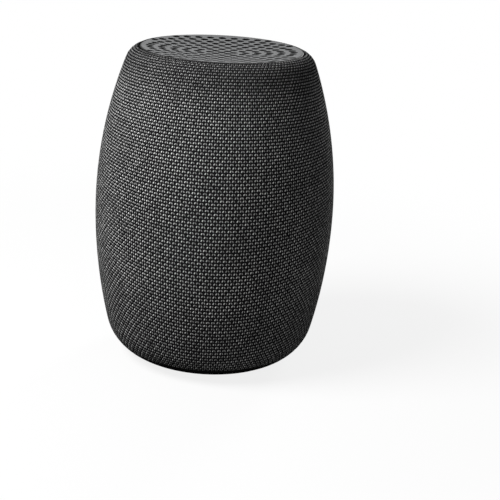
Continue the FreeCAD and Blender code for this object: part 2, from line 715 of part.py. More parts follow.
def waveguide():
    """Short horn from the driver to the dish; its foot clamps the lid, its head carries the top frame."""
    outer = WAVEGUIDE_INNER + WAVEGUIDE_WALL
    head_bottom = FRAME_BOTTOM - WAVEGUIDE_TOP
    tube = ring(WAVEGUIDE_INNER, outer, LID_TOP, FRAME_BOTTOM)
    head = ring(MIC_RING_INNER + WAVEGUIDE_HEAD_GAP, outer + WAVEGUIDE_WALL, head_bottom, FRAME_BOTTOM)
    foot = core_prism(LID_TOP, CORE_SCREW_SEAT).cut(rod(0, 0, LID_TOP, CORE_SCREW_SEAT, WAVEGUIDE_INNER))
    holes = core_screw_holes(LID_TOP, CORE_SCREW_SEAT) + mic_screw_holes(head_bottom, FRAME_BOTTOM)
    return cut_all(merged([tube, head, foot]), holes)


def core_screws():
    return Part.makeCompound([
        screw(x, y, CORE_SCREW_SEAT, CORE_SCREW_LENGTH, SCREW_R, SCREW_HEAD_R, SCREW_HEAD_H)
        for x, y in core_screw_points()
    ])


def enclosure_lid():
    plate = core_prism(LID_BOTTOM, LID_TOP)
    opening = rod(0, 0, LID_BOTTOM, LID_TOP, DRIVER_HOLE_RADIUS)
    holes = core_screw_holes(LID_BOTTOM, LID_TOP) + driver_screw_holes(LID_BOTTOM, LID_TOP)
    return cut_all(plate, [opening] + holes)


def enclosure_gasket():
    return core_prism(CORE_TOP, LID_BOTTOM).cut(core_prism(CORE_TOP, LID_BOTTOM, CORE_WALL))


def to_side(shape, side):
    """Moves a shape modelled along +Z from the origin onto the right (+1) or left (-1) flat."""
    copy = shape.copy()
    copy.rotate(V(0, 0, 0), V(0, 1, 0), 90.0 * side)
    copy.translate(V(side * SIDE_FLAT, 0, RADIATOR_Z))
    return copy


def enclosure_body():
    """Sealed tub with screw bosses, an opening for each passive radiator and a hole for the lead."""
    floor = CORE_BOTTOM + CORE_WALL
    outer = core_prism(CORE_BOTTOM, CORE_TOP)
    tub = outer.cut(core_prism(floor, CORE_TOP, CORE_WALL))
    screw_end = CORE_SCREW_SEAT - CORE_SCREW_LENGTH
    bosses = [rod(x, y, screw_end - SCREW_R, CORE_TOP, BOSS_R).common(outer) for x, y in core_screw_points()]
    holes = core_screw_holes(screw_end - SLIDE_GAP, CORE_TOP)
    for angle in even_angles(4, 45.0):
        x, y = around(CHASSIS_SCREW_CIRCLE, angle)
        bosses.append(rod(x, y, CORE_BOTTOM, floor + CHASSIS_BOSS, BOSS_R))
        holes.append(rod(x, y, CORE_BOTTOM, floor + CHASSIS_BOSS - CHASSIS_BOSS_CAP, SCREW_R + SCREW_FIT))
    holes.append(rod(0, 0, CORE_BOTTOM, floor, GROMMET_R))
    depth = 2 * CORE_WALL
    for side in (1, -1):
        holes.append(to_side(rod(0, 0, -depth, depth, RADIATOR_MOUTH), side))
        for x, y in radiator_screw_points():
            holes.append(to_side(rod(x, y, -depth, 0, SMALL_SCREW_R + SCREW_FIT), side))
    return cut_all(merged([tub] + bosses), holes)


# =====================================================================
# driver
# =====================================================================
def half_roll(inner, outer, base, glue):
    """Rubber surround: a half roll between two radii with a flat gluing land on each side."""
    middle = (inner + outer) / 2
    radius = (outer - inner) / 2
    top = base + SURROUND_THICK
    reach = math.sqrt((radius + SURROUND_THICK) ** 2 - SURROUND_THICK ** 2)
    tilt = math.degrees(math.asin(SURROUND_THICK / (radius + SURROUND_THICK)))
    return spin([
        line((inner - glue, base), (inner, base)),
        arc((middle, base), radius, 180, 0),
        line((outer, base), (outer + glue, base)),
        line((outer + glue, base), (outer + glue, top)),
        line((outer + glue, top), (middle + reach, top)),
        arc((middle, base), radius + SURROUND_THICK, tilt, 180 - tilt),
        line((middle - reach, top), (inner - glue, top)),
        line((inner - glue, top), (inner - glue, base)),
    ])


def driver_basket():
    """Pressed steel frame with four windows, a ledge for the spider and a mounting flange."""
    foot = BASKET_FLOOR_RADIUS
    throat = WINDING_OUTER + 4 * COIL_GAP
    basket = lathe([
        (DRIVER_FLANGE_RADIUS, FLANGE_BOTTOM),
        (DRIVER_FLANGE_RADIUS, FLANGE_TOP),
        (BASKET_MOUTH, FLANGE_TOP),
        (BASKET_MOUTH, FLANGE_BOTTOM),
        (foot - BASKET_WALL, SPIDER_Z),
        (SPIDER_OUTER - GLUE_WIDTH, SPIDER_Z),
        (SPIDER_OUTER - GLUE_WIDTH, BASKET_FLOOR_TOP),
        (throat, BASKET_FLOOR_TOP),
        (throat, BASKET_BOTTOM),
        (foot, BASKET_BOTTOM),
        (foot, SPIDER_Z),
        (BASKET_MOUTH + BASKET_WALL, FLANGE_BOTTOM),
    ])
    low = SPIDER_Z + 2 * BASKET_WALL
    high = FLANGE_BOTTOM - 2 * BASKET_WALL
    half = BASKET_WINDOW_WIDTH / 2
    window = block((BASKET_WINDOW_FROM, -half, low), (DRIVER_HOLE_RADIUS, half, high))
    windows = [turned(window, a) for a in even_angles(4, 45.0)]
    return cut_all(basket, windows + driver_screw_holes(FLANGE_BOTTOM, FLANGE_TOP))


def driver_top_plate():
    return ring(WINDING_OUTER + COIL_GAP, TOP_PLATE_RADIUS, TOP_PLATE_BOTTOM, BASKET_BOTTOM)


def driver_magnet():
    return ring(WINDING_OUTER + 5 * COIL_GAP, MAGNET_RADIUS, MAGNET_BOTTOM, TOP_PLATE_BOTTOM)


def driver_yoke():
    pole = COIL_RADIUS - COIL_GAP
    chamfer = YOKE / 4
    return lathe([
        (0, YOKE_BOTTOM),
        (YOKE_RADIUS - chamfer, YOKE_BOTTOM),
        (YOKE_RADIUS, YOKE_BOTTOM + chamfer),
        (YOKE_RADIUS, MAGNET_BOTTOM),
        (pole, MAGNET_BOTTOM),
        (pole, BASKET_BOTTOM),
        (0, BASKET_BOTTOM),
    ])


def voice_coil():
    former = COIL_RADIUS + FORMER_WALL
    middle = (TOP_PLATE_BOTTOM + BASKET_BOTTOM) / 2
    low = middle - WINDING_LENGTH / 2
    high = middle + WINDING_LENGTH / 2
    return lathe([
        (COIL_RADIUS, low),
        (WINDING_OUTER, low),
        (WINDING_OUTER, high),
        (former, high),
        (former, FORMER_TOP),
        (COIL_RADIUS, FORMER_TOP),
    ])


def driver_spider():
    """Corrugated centring disc between the former and its ledge."""
    inner = COIL_RADIUS + FORMER_WALL + SEAT_GAP
    start = inner + SPIDER_LAND
    end = SPIDER_OUTER - GLUE_WIDTH
    folds = 2 * SPIDER_WAVES
    lower = [(inner, SPIDER_Z)]
    for i in range(folds + 1):
        rise = SPIDER_THICK if i % 2 else 0.0
        lower.append((start + (end - start) * i / folds, SPIDER_Z + rise))
    lower.append((SPIDER_OUTER, SPIDER_Z))
    upper = [(r, z + SPIDER_THICK) for r, z in reversed(lower)]
    return lathe(lower + upper)


def driver_cone():
    neck = COIL_RADIUS + FORMER_WALL
    rim = FLANGE_TOP - SEAT_GAP
    land = SURROUND_INNER - GLUE_WIDTH
    foot = FORMER_TOP - 2 * CONE_WALL
    return lathe([
        (neck, foot),
        (land + CONE_WALL / 2, rim - CONE_WALL),
        (SURROUND_INNER, rim - CONE_WALL),
        (SURROUND_INNER, rim),
        (land, rim),
        (neck, foot + 1.5 * CONE_WALL),
    ])


def dust_cap():
    edge = COIL_RADIUS + 2 * CONE_WALL
    share = (edge - COIL_RADIUS - FORMER_WALL) / (SURROUND_INNER - GLUE_WIDTH - COIL_RADIUS - FORMER_WALL)
    foot = FORMER_TOP - CONE_WALL / 2
    base = foot + share * (FLANGE_TOP - SEAT_GAP - foot) + SEAT_GAP
    radius = (edge ** 2 + DUST_CAP_RISE ** 2) / (2 * DUST_CAP_RISE)
    centre = (0, base + DUST_CAP_RISE - radius)
    inner = radius - CONE_WALL
    start = math.degrees(math.acos(edge / radius))
    inner_start = math.degrees(math.asin((base - centre[1]) / inner))
    inner_edge = on_arc(centre, inner, inner_start)
    return spin([
        arc(centre, radius, start, 90),
        line((0, centre[1] + radius), (0, centre[1] + inner)),
        arc(centre, inner, 90, inner_start),
        line(inner_edge, on_arc(centre, radius, start)),
    ])


def driver_surround():
    return half_roll(SURROUND_INNER, SURROUND_OUTER, FLANGE_TOP, GLUE_WIDTH)


def driver_gasket():
    gasket = ring(DRIVER_HOLE_RADIUS, DRIVER_FLANGE_RADIUS, LID_TOP, FLANGE_BOTTOM)
    return cut_all(gasket, driver_screw_holes(LID_TOP, FLANGE_BOTTOM))


def driver_screws():
    length = DRIVER_FLANGE + DRIVER_GASKET + LID_THICK - SLIDE_GAP
    return Part.makeCompound([
        screw(x, y, FLANGE_TOP, length, SMALL_SCREW_R, SMALL_HEAD_R, SMALL_HEAD_H)
        for x, y in driver_screw_points()
    ])


def terminal_strip():
    strip = block((-TERMINAL[0] / 2, BASKET_FLOOR_RADIUS - TERMINAL_LAP, BASKET_BOTTOM),
                  (TERMINAL[0] / 2, BASKET_FLOOR_RADIUS + TERMINAL[1], BASKET_FLOOR_TOP))
    return strip.cut(rod(0, 0, BASKET_BOTTOM, BASKET_FLOOR_TOP, BASKET_FLOOR_RADIUS))


def terminal_tabs():
    y = BASKET_FLOOR_RADIUS + TERMINAL[1] / 2
    tabs = [centred_block(TERMINAL_TAB, side * TERMINAL[0] / 4, y, BASKET_FLOOR_TOP) for side in (-1, 1)]
    return Part.makeCompound(tabs)


def rounded_path(points):
    """Straight runs joined by tangent arcs, each as large as its two runs allow."""
    edges = []
    start = points[0]
    for before, corner, after in zip(points, points[1:], points[2:]):
        into = (corner - before).normalize()
        away = (after - corner).normalize()
        reach = 0.45 * min(before.distanceToPoint(corner), corner.distanceToPoint(after))
        turn = into.getAngle(away)
        radius = reach / math.tan(turn / 2)
        first = corner - into * reach
        last = corner + away * reach
        inward = (away - into).normalize()
        middle = corner + inward * (radius / math.cos(turn / 2) - radius)
        edges.append(Part.makeLine(start, first))
        edges.append(Part.Arc(first, middle, last).toShape())
        start = last
    edges.append(Part.makeLine(start, points[-1]))
    return edges


def driver_leads():
    """Two insulated leads: board connector, grommet, then up beside the magnet to the terminals."""
    leads = []
    for side in (-1, 1):
        near = side * LEAD_SPACING
        far = side * TERMINAL[0] / 4
        plug_top = MAIN_BOARD_TOP + LEAD_CONNECTOR[2]
        inside = CORE_BOTTOM + CORE_WALL + LEAD_INNER_RISE
        terminal_y = BASKET_FLOOR_RADIUS + TERMINAL[1] / 2 + LEAD_R / 2
        path = rounded_path([
            V(near, LEAD_CONNECTOR_Y, plug_top),
            V(near, LEAD_CONNECTOR_Y, plug_top + LEAD_LOOP_RISE),
            V(near, 0, CORE_BOTTOM - GROMMET_LIP - 2 * GROMMET_R),
            V(near, 0, inside),
            V(far, terminal_y, YOKE_BOTTOM - LEAD_TURN_DROP),
            V(far, terminal_y, BASKET_BOTTOM),
        ])
        section = Part.Wire(Part.makeCircle(LEAD_R, V(near, LEAD_CONNECTOR_Y, plug_top), V(0, 0, 1)))
        leads.append(Part.Wire(path).makePipeShell([section], True, False))
    return Part.makeCompound(leads)


def lead_connector():
    return centred_block(LEAD_CONNECTOR, 0, LEAD_CONNECTOR_Y, MAIN_BOARD_TOP)


def lead_grommet():
    floor = CORE_BOTTOM + CORE_WALL
    body = GROMMET_R - SCREW_FIT
    grommet = lathe([
        (0, CORE_BOTTOM - GROMMET_LIP),
        (GROMMET_R + GROMMET_FLANGE, CORE_BOTTOM - GROMMET_LIP),
        (GROMMET_R + GROMMET_FLANGE, CORE_BOTTOM),
        (body, CORE_BOTTOM),
        (body, floor),
        (GROMMET_R + GROMMET_FLANGE, floor),
        (GROMMET_R + GROMMET_FLANGE, floor + GROMMET_LIP),
        (0, floor + GROMMET_LIP),
    ])
    low = CORE_BOTTOM - 2 * GROMMET_LIP
    high = floor + 2 * GROMMET_LIP
    return cut_all(grommet, [rod(side * LEAD_SPACING, 0, low, high, LEAD_R + SCREW_FIT) for side in (-1, 1)])


# =====================================================================
# passive radiators: modelled along +Z, then moved onto a side flat
# =====================================================================
def radiator_screw_points():
    return [around(RADIATOR_SCREW_CIRCLE, a) for a in even_angles(4, 45.0)]


def radiator_frame():
    frame = lathe([
        (RADIATOR_MOUTH, 0),
        (RADIATOR_RADIUS, 0),
        (RADIATOR_RADIUS, RADIATOR_FRAME - RADIATOR_CHAMFER),
        (RADIATOR_RADIUS - RADIATOR_CHAMFER, RADIATOR_FRAME),
        (RADIATOR_MOUTH, RADIATOR_FRAME),
    ])
    hole = SMALL_SCREW_R + SCREW_FIT
    return cut_all(frame, [rod(x, y, 0, RADIATOR_FRAME, hole) for x, y in radiator_screw_points()])


def radiator_surround():
    return half_roll(RADIATOR_SURROUND_INNER, RADIATOR_SURROUND_OUTER, RADIATOR_FRAME, RADIATOR_GLUE_WIDTH)


def radiator_diaphragm():
    """Flat disc with a stiffening ring round its weight."""
    top = RADIATOR_FRAME - SEAT_GAP
    low = top - RADIATOR_CONE_THICK
    step = RADIATOR_WEIGHT_RADIUS + RADIATOR_CONE_THICK
    return lathe([
        (0, low),
        (RADIATOR_SURROUND_INNER, low),
        (RADIATOR_SURROUND_INNER, top),
        (step + 2 * RADIATOR_CONE_THICK, top),
        (step + RADIATOR_CONE_THICK, top + RADIATOR_CONE_THICK),
        (step, top + RADIATOR_CONE_THICK),
        (RADIATOR_WEIGHT_RADIUS, top),
        (0, top),
    ])


def radiator_weight():
    low = RADIATOR_FRAME - SEAT_GAP - RADIATOR_CONE_THICK - RADIATOR_WEIGHT_THICK
    return rod(0, 0, low, low + RADIATOR_WEIGHT_THICK, RADIATOR_WEIGHT_RADIUS)


def radiator_screws():
    length = RADIATOR_FRAME + CORE_WALL - SLIDE_GAP
    set_of_four = [screw(x, y, RADIATOR_FRAME, length, SMALL_SCREW_R, SMALL_HEAD_R, SMALL_HEAD_H)
                   for x, y in radiator_screw_points()]
    return Part.makeCompound([to_side(s, side) for side in (1, -1) for s in set_of_four])


# =====================================================================
# chassis and main board
# =====================================================================
def chassis():
    """Round electronics bay with a deck on top that carries the acoustic core."""
    wall = ring(BAY_RADIUS - BAY_WALL, BAY_RADIUS, BASE_FLOOR_TOP, DECK_UNDERSIDE)
    deck = core_prism(DECK_UNDERSIDE, CORE_BOTTOM)
    bosses = []
    holes = [rod(0, 0, DECK_UNDERSIDE, CORE_BOTTOM, DECK_HOLE_RADIUS)]
    boss_top = BASE_SCREW_SEAT + BASE_SCREW_LENGTH + BAY_WALL
    for angle in even_angles(BASE_SCREW_COUNT, 45.0):
        x, y = around(BASE_SCREW_CIRCLE, angle)
        bosses.append(rod(x, y, BASE_PAD_TOP, boss_top, BOSS_R))
        holes.append(rod(x, y, BASE_PAD_TOP, boss_top - BAY_WALL + SLIDE_GAP, SCREW_R + SCREW_FIT))
    for angle in even_angles(4, 45.0):
        x, y = around(CHASSIS_SCREW_CIRCLE, angle)
        holes.append(rod(x, y, DECK_UNDERSIDE, CORE_BOTTOM, SCREW_R + SCREW_FIT))
    return cut_all(merged([wall, deck] + bosses), holes)


def chassis_screws():
    length = DECK_THICK + CORE_WALL + CHASSIS_BOSS - 2 * CHASSIS_BOSS_CAP
    return Part.makeCompound([
        screw(*around(CHASSIS_SCREW_CIRCLE, a), DECK_UNDERSIDE, length, SCREW_R, SCREW_HEAD_R,
              SCREW_HEAD_H, up=False)
        for a in even_angles(4, 45.0)
    ])


def main_board():
    board = rod(0, 0, MAIN_BOARD_Z, MAIN_BOARD_TOP, MAIN_BOARD_RADIUS)
    cuts = []
    for angle in even_angles(BASE_SCREW_COUNT, 45.0):
        x, y = around(BASE_SCREW_CIRCLE, angle)
        cuts.append(rod(x, y, MAIN_BOARD_Z, MAIN_BOARD_TOP, BOSS_R + 2 * SLIDE_GAP))
    for angle in even_angles(4):
        x, y = around(MAIN_POST_CIRCLE, angle)
        cuts.append(rod(x, y, MAIN_BOARD_Z, MAIN_BOARD_TOP, SMALL_SCREW_R + SCREW_FIT))
    return cut_all(board, cuts)


def board_screws():
    length = MAIN_BOARD_TOP - BASE_FLOOR_TOP - MAIN_POST_FLOOR
    return Part.makeCompound([
        screw(*around(MAIN_POST_CIRCLE, a), MAIN_BOARD_TOP, length, SMALL_SCREW_R, SMALL_HEAD_R, SMALL_HEAD_H)
        for a in even_angles(4)
    ])


def board_chips():
    chips = [centred_block(PROCESSOR, *PROCESSOR_PLACE, MAIN_BOARD_TOP)]
    chips += [centred_block(size, x, y, MAIN_BOARD_TOP) for size, x, y in SMALL_CHIPS]
    return Part.makeCompound(chips)


def board_capacitors():
    return Part.makeCompound([
        rod(x, y, MAIN_BOARD_TOP, MAIN_BOARD_TOP + CAPACITOR[1], CAPACITOR[0]) for x, y in CAPACITOR_PLACES
    ])


def shield_can():
    """Screening box on the board, just clear of the front right base boss."""
    boss_edge = around(BASE_SCREW_CIRCLE, -45.0)[1] + BOSS_R
    y = boss_edge + SHIELD_GAP + SHIELD_CAN[1] / 2
    return centred_block(SHIELD_CAN, SHIELD_X, y, MAIN_BOARD_TOP)


def heat_sink():
    x, y = PROCESSOR_PLACE
    width, depth, height = HEAT_SINK
    low = MAIN_BOARD_TOP + PROCESSOR[2]
    base = centred_block((width, depth, HEAT_SINK_BASE), x, y, low)
    span = width - HEAT_SINK_FIN
    fins = []
    for i in range(HEAT_SINK_FINS):
        middle = x - span / 2 + span * i / (HEAT_SINK_FINS - 1)
        fins.append(centred_block((HEAT_SINK_FIN, depth, height), middle, y, low))
    return merged([base] + fins)


def antenna():
    """Flexible antenna strip, stuck to the front of the bay wall."""
    outer = BAY_RADIUS - BAY_WALL
    inner = outer - ANTENNA_THICK
    low = (MAIN_BOARD_Z + DECK_UNDERSIDE - ANTENNA_HEIGHT) / 2
    corners = [(inner, low), (outer, low), (outer, low + ANTENNA_HEIGHT), (inner, low + ANTENNA_HEIGHT)]
    face = Part.Face(Part.makePolygon([point(*c) for c in corners + corners[:1]]))
    return turned(face.revolve(V(0, 0, 0), V(0, 0, 1), ANTENNA_ARC), -90.0 - ANTENNA_ARC / 2)


# =====================================================================
# rear strip: panel, port board, inlet, buttons
# =====================================================================
PANEL_INNER_INSET = SHELL_INNER_INSET + GLUE_GAP + PANEL_FLANGE


def along_y(radius, z, low, high, x=0.0):
    return Part.makeCylinder(radius, high - low, V(x, low, z), V(0, 1, 0))


def inlet_pill(grow, low_y, high_y):
    """Flat slot shape of the inlet, lying along X, extruded along Y."""
    width = INLET_SHELL[0] + 2 * grow
    height = INLET_SHELL[1] + 2 * grow
    r = height / 2
    half = width / 2 - r
    body = block((-half, low_y, INLET_Z - r), (half, high_y, INLET_Z + r))
    ends = [Part.makeCylinder(r, high_y - low_y, V(x, low_y, INLET_Z), V(0, 1, 0)) for x in (-half, half)]
    return merged([body] + ends)


def rear_panel():
    """Curved strip that fills the rear opening, with a flange behind the shell and two board bosses."""
    front = barrel_side(PANEL_RECESS, PANEL_INNER_INSET).common(
        pill(PANEL_WIDTH - 2 * PANEL_FIT, PANEL_BOTTOM + PANEL_FIT, PANEL_TOP - PANEL_FIT, 0, FAR))
    flange = barrel_side(SHELL_INNER_INSET + GLUE_GAP, PANEL_INNER_INSET).common(
        pill(PANEL_WIDTH + 2 * PANEL_FLANGE_WIDTH, PANEL_BOTTOM - PANEL_FLANGE_WIDTH,
             PANEL_TOP + PANEL_FLANGE_WIDTH, 0, FAR))
    bosses = [along_y(PORT_BOSS_R, z, PORT_BOARD_FRONT, side_radius(z, PANEL_INNER_INSET) + PANEL_FLANGE, x)
              for x, z in PORT_BOSSES]
    holes = [along_y(BUTTON_R + SLIDE_GAP, z, PORT_BOARD_FRONT, FAR) for z in BUTTON_Z]
    bite = PORT_BOARD_FRONT + PORT_SCREW_BITE + SLIDE_GAP
    holes += [along_y(SMALL_SCREW_R + SCREW_FIT, z, PORT_BOARD_FRONT, bite, x) for x, z in PORT_BOSSES]
    holes.append(inlet_pill(INLET_FIT, PORT_BOARD_FRONT, FAR))
    return cut_all(merged([front, flange] + bosses), holes)


def port_board():
    half = PANEL_WIDTH / 2 - PORT_BOARD_MARGIN
    low = PANEL_BOTTOM + PORT_BOARD_MARGIN
    high = PANEL_TOP - PORT_BOARD_MARGIN
    board = block((-half, PORT_BOARD_Y, low), (half, PORT_BOARD_FRONT, high))
    hole = SMALL_SCREW_R + SCREW_FIT
    return cut_all(board, [along_y(hole, z, PORT_BOARD_Y, PORT_BOARD_FRONT, x) for x, z in PORT_BOSSES])


def port_screws():
    length = PORT_BOARD_THICK + PORT_SCREW_BITE
    screws = []
    for x, z in PORT_BOSSES:
        pin = screw(0, 0, 0, length, SMALL_SCREW_R, SMALL_HEAD_R, SMALL_HEAD_H)
        pin.rotate(V(0, 0, 0), V(1, 0, 0), 90)
        pin.translate(V(x, PORT_BOARD_Y, z))
        screws.append(pin)
    return Part.makeCompound(screws)


def tact_switches():
    half_width = SWITCH[0] / 2
    half_height = SWITCH[2] / 2
    return Part.makeCompound([
        block((-half_width, PORT_BOARD_FRONT, z - half_height), (half_width, SWITCH_FACE_Y, z + half_height))
        for z in BUTTON_Z
    ])


def power_inlet():
    outer = inlet_pill(0.0, PORT_BOARD_FRONT, INLET_MOUTH_Y)
    return outer.cut(inlet_pill(-INLET_WALL, PORT_BOARD_Y, FAR))


def inlet_tongue():
    back = inlet_pill(-INLET_WALL, PORT_BOARD_FRONT, PORT_BOARD_FRONT + INLET_BACK)
    half = INLET_TONGUE[0] / 2
    tongue = block((-half, PORT_BOARD_FRONT, INLET_Z - INLET_TONGUE[1] / 2),
                   (half, INLET_MOUTH_Y - INLET_TONGUE_SETBACK, INLET_Z + INLET_TONGUE[1] / 2))
    return merged([back, tongue])


def button(z, mark):
    """Push button: a face that follows the barrel, a collar behind the panel and a stem to its switch."""
    reach = BUTTON_R + BUTTON_COLLAR
    collar_front = math.sqrt(side_radius(z - reach, PANEL_INNER_INSET) ** 2 - reach ** 2) - SLIDE_GAP
    cap = along_y(BUTTON_R, z, collar_front, FAR).common(barrel_side(-BUTTON_PROUD, 2 * PANEL_INNER_INSET))
    collar = along_y(reach, z, collar_front - BUTTON_COLLAR_THICK, collar_front)
    stem = along_y(BUTTON_STEM_R, z, SWITCH_FACE_Y + STEM_GAP, collar_front)
    face_layer = barrel_side(-2 * BUTTON_PROUD, MARK_DEPTH - BUTTON_PROUD)
    return merged([cap, collar, stem]).cut(mark(z).common(face_layer))


def bar_mark(z):
    half_length = MARK_LENGTH / 2
    half_width = MARK_WIDTH / 2
    return block((-half_length, 0, z - half_width), (half_length, FAR, z + half_width))


def plus_mark(z):
    half_length = MARK_LENGTH / 2
    half_width = MARK_WIDTH / 2
    return merged([bar_mark(z), block((-half_width, 0, z - half_length), (half_width, FAR, z + half_length))])


def ring_mark(z):
    outer = along_y(MARK_LENGTH / 2, z, 0, FAR)
    return outer.cut(along_y(MARK_LENGTH / 2 - MARK_WIDTH, z, 0, FAR))


# =====================================================================
# build
# =====================================================================
def build():
    os.makedirs("parts", exist_ok=True)
    mics = ring_of_blocks(MIC_SIZE, MIC_COUNT, 0.0)
    leds = ring_of_blocks(LED_SIZE, LED_COUNT, LED_FIRST_ANGLE)
    makers = {
        "fabric_sleeve": fabric_sleeve,
        "grille_shell": grille_shell,
        "base_plate": base_plate,
        "foot_ring": foot_ring,
        "base_screws": base_screws,
        "top_dish": top_dish,
        "dust_screen": dust_screen,
        "top_frame": top_frame,
        "mic_board": mic_board,
        "microphones": lambda: mics,
        "status_leds": lambda: leds,
        "mic_board_screws": mic_board_screws,
        "waveguide": waveguide,
        "core_screws": core_screws,
        "enclosure_lid": enclosure_lid,
        "enclosure_gasket": enclosure_gasket,
        "enclosure_body": enclosure_body,
        "driver_basket": driver_basket,
        "driver_top_plate": driver_top_plate,
        "driver_magnet": driver_magnet,
        "driver_yoke": driver_yoke,
        "voice_coil": voice_coil,
        "driver_spider": driver_spider,
        "driver_cone": driver_cone,
        "dust_cap": dust_cap,
        "driver_surround": driver_surround,
        "driver_gasket": driver_gasket,
        "driver_screws": driver_screws,
        "terminal_strip": terminal_strip,
        "terminal_tabs": terminal_tabs,
        "driver_leads": driver_leads,
        "lead_connector": lead_connector,
        "lead_grommet": lead_grommet,
        "radiator_screws": radiator_screws,
        "chassis": chassis,
        "chassis_screws": chassis_screws,
        "main_board": main_board,
        "board_screws": board_screws,
        "board_chips": board_chips,
        "board_capacitors": board_capacitors,
        "shield_can": shield_can,
        "heat_sink": heat_sink,
        "antenna": antenna,
        "rear_panel": rear_panel,
        "port_board": port_board,
        "port_screws": port_screws,
        "tact_switches": tact_switches,
        "power_inlet": power_inlet,
        "inlet_tongue": inlet_tongue,
        "volume_down_button": lambda: button(BUTTON_Z[0], bar_mark),
        "volume_up_button": lambda: button(BUTTON_Z[1], plus_mark),
        "mute_button": lambda: button(BUTTON_Z[2], ring_mark),
    }
    for name, make in makers.items():
        save(name, make())
    pair_makers = {
        "radiator_frame": radiator_frame,
        "radiator_surround": radiator_surround,
        "radiator_diaphragm": radiator_diaphragm,
        "radiator_weight": radiator_weight,
    }
    for name, make in pair_makers.items():
        shape = make()
        for side_name, side in (("right", 1), ("left", -1)):
            save(name + "_" + side_name, to_side(shape, side))


build()
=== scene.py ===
import json
import math

import bmesh
import bpy
from mathutils import Matrix, Vector

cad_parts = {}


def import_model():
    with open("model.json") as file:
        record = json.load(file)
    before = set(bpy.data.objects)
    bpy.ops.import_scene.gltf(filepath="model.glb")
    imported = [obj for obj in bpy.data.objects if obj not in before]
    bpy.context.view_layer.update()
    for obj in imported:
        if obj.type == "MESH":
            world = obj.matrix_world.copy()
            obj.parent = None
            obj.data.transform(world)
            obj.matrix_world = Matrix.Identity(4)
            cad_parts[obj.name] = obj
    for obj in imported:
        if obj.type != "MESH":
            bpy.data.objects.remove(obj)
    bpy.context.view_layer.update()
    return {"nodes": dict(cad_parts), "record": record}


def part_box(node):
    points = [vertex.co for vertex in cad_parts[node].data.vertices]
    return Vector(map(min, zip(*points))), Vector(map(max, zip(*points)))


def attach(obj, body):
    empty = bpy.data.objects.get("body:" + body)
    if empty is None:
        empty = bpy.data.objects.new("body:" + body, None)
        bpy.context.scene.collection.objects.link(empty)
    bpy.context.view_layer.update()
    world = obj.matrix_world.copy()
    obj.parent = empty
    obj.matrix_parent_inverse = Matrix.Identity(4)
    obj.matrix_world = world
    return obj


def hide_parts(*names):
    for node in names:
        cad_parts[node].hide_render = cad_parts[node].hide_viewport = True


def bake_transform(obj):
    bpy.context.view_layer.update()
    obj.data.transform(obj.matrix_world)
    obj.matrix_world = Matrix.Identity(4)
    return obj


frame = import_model()

# Smart speaker in its dressed state: a woven sleeve over the barrel, grey paint on the perforated
# dish, soft rings round the driver and the radiators, and a finish for every piece
# inside and out. Metres, in the frame of the CAD.

MM = 0.001
MATERIAL_SLOTS = {entry["node"]: entry["material_slot"] for entry in frame["record"]["subparts"]}


def to_micrometre(size):
    """Rounds a size worked out from the frame, whose meshes hold it a little less exactly."""
    return round(size, 6)


def centre_of(node):
    """Middle of a CAD node's box."""
    return [(low + high) / 2 for low, high in zip(*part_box(node))]


# ---- barrel profile: the outer face of the fabric, as the CAD has it. A centre is (radius, height), ----
# ---- and the lip lies LIP_REACH out and LIP_RISE up from the shoulder's ----
SLEEVE_LOW, SLEEVE_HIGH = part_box("fabric_sleeve")
MAX_RADIUS = to_micrometre(SLEEVE_HIGH[0])
HEM_Z = to_micrometre(SLEEVE_LOW[2])
WIDEST_Z = 77.0 * MM
LIP_REACH = 2.63 * MM
SHOULDER_RADIUS = 9.0 * MM
LIP_RISE = math.sqrt(SHOULDER_RADIUS ** 2 - LIP_REACH ** 2)
SHOULDER_CENTRE = (37.87 * MM, to_micrometre(SLEEVE_HIGH[2] - LIP_RISE))
HEEL_RADIUS = 23.0 * MM
HEEL_CENTRE = (30.71 * MM, HEEL_RADIUS)
FABRIC = 1.0 * MM

# ---- sleeve mesh, and how its faces share the height of the texture map ----
COLUMNS = 288
OUTER_ROWS = 72
INNER_ROWS = 36
UV_LAYER = "OFBake"
OUTER_UV_SHARE = 0.80
INNER_UV_START = 0.82
INNER_UV_END = 0.94
EDGE_UV_SHARE = 0.01
CUT_UV = 0.96

# ---- rear opening in the sleeve: the rear panel without its flange ----
PANEL_FLANGE_WIDTH = 2.0 * MM
PANEL_LOW, PANEL_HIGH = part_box("rear_panel")
OPENING_WIDTH = to_micrometre(PANEL_HIGH[0] - PANEL_LOW[0] - 2 * PANEL_FLANGE_WIDTH)
OPENING_BOTTOM = to_micrometre(PANEL_LOW[2] + PANEL_FLANGE_WIDTH)
OPENING_TOP = to_micrometre(PANEL_HIGH[2] - PANEL_FLANGE_WIDTH)
END_STEPS = 24
CUTTER_NEAR = 0.5 * MAX_RADIUS
CUTTER_FAR = 1.2 * MAX_RADIUS

# ---- threads of the weave ----
WARPS = 280
WEFT_PITCH = 1.554 * MM
PITCH_AT_HEM = 1.22
PITCH_AT_LIP = 0.90

# ---- rise of the weft rows behind the front, as a share of the way back, at two heights ----
LIFT_LOW = 0.26
LIFT_HIGH = -0.05
LIFT_LOW_Z = 25.0 * MM
LIFT_HIGH_Z = 165.0 * MM
LIFT_EASE = 0.2

# ---- flecks: each is two leaning beads, in millimetres from the middle of the fleck ----
WARPS_PER_FLECK = 2
FIRST_FLECK = 0.25
SHIFT_PER_ROW = 0.5
WARP_PITCH = 2 * math.pi * MAX_RADIUS / WARPS / MM
ROW_HEIGHT = WEFT_PITCH / MM
BEAD_FOOT = (0.66, -0.22)
BEAD_TOP = (0.45, 0.22)
BEAD_CORE = 0.06
BEAD_EDGE = 0.37
JITTER = 0.12
SEED_ACROSS = 5.0
SEED_UPWARDS = 9.0
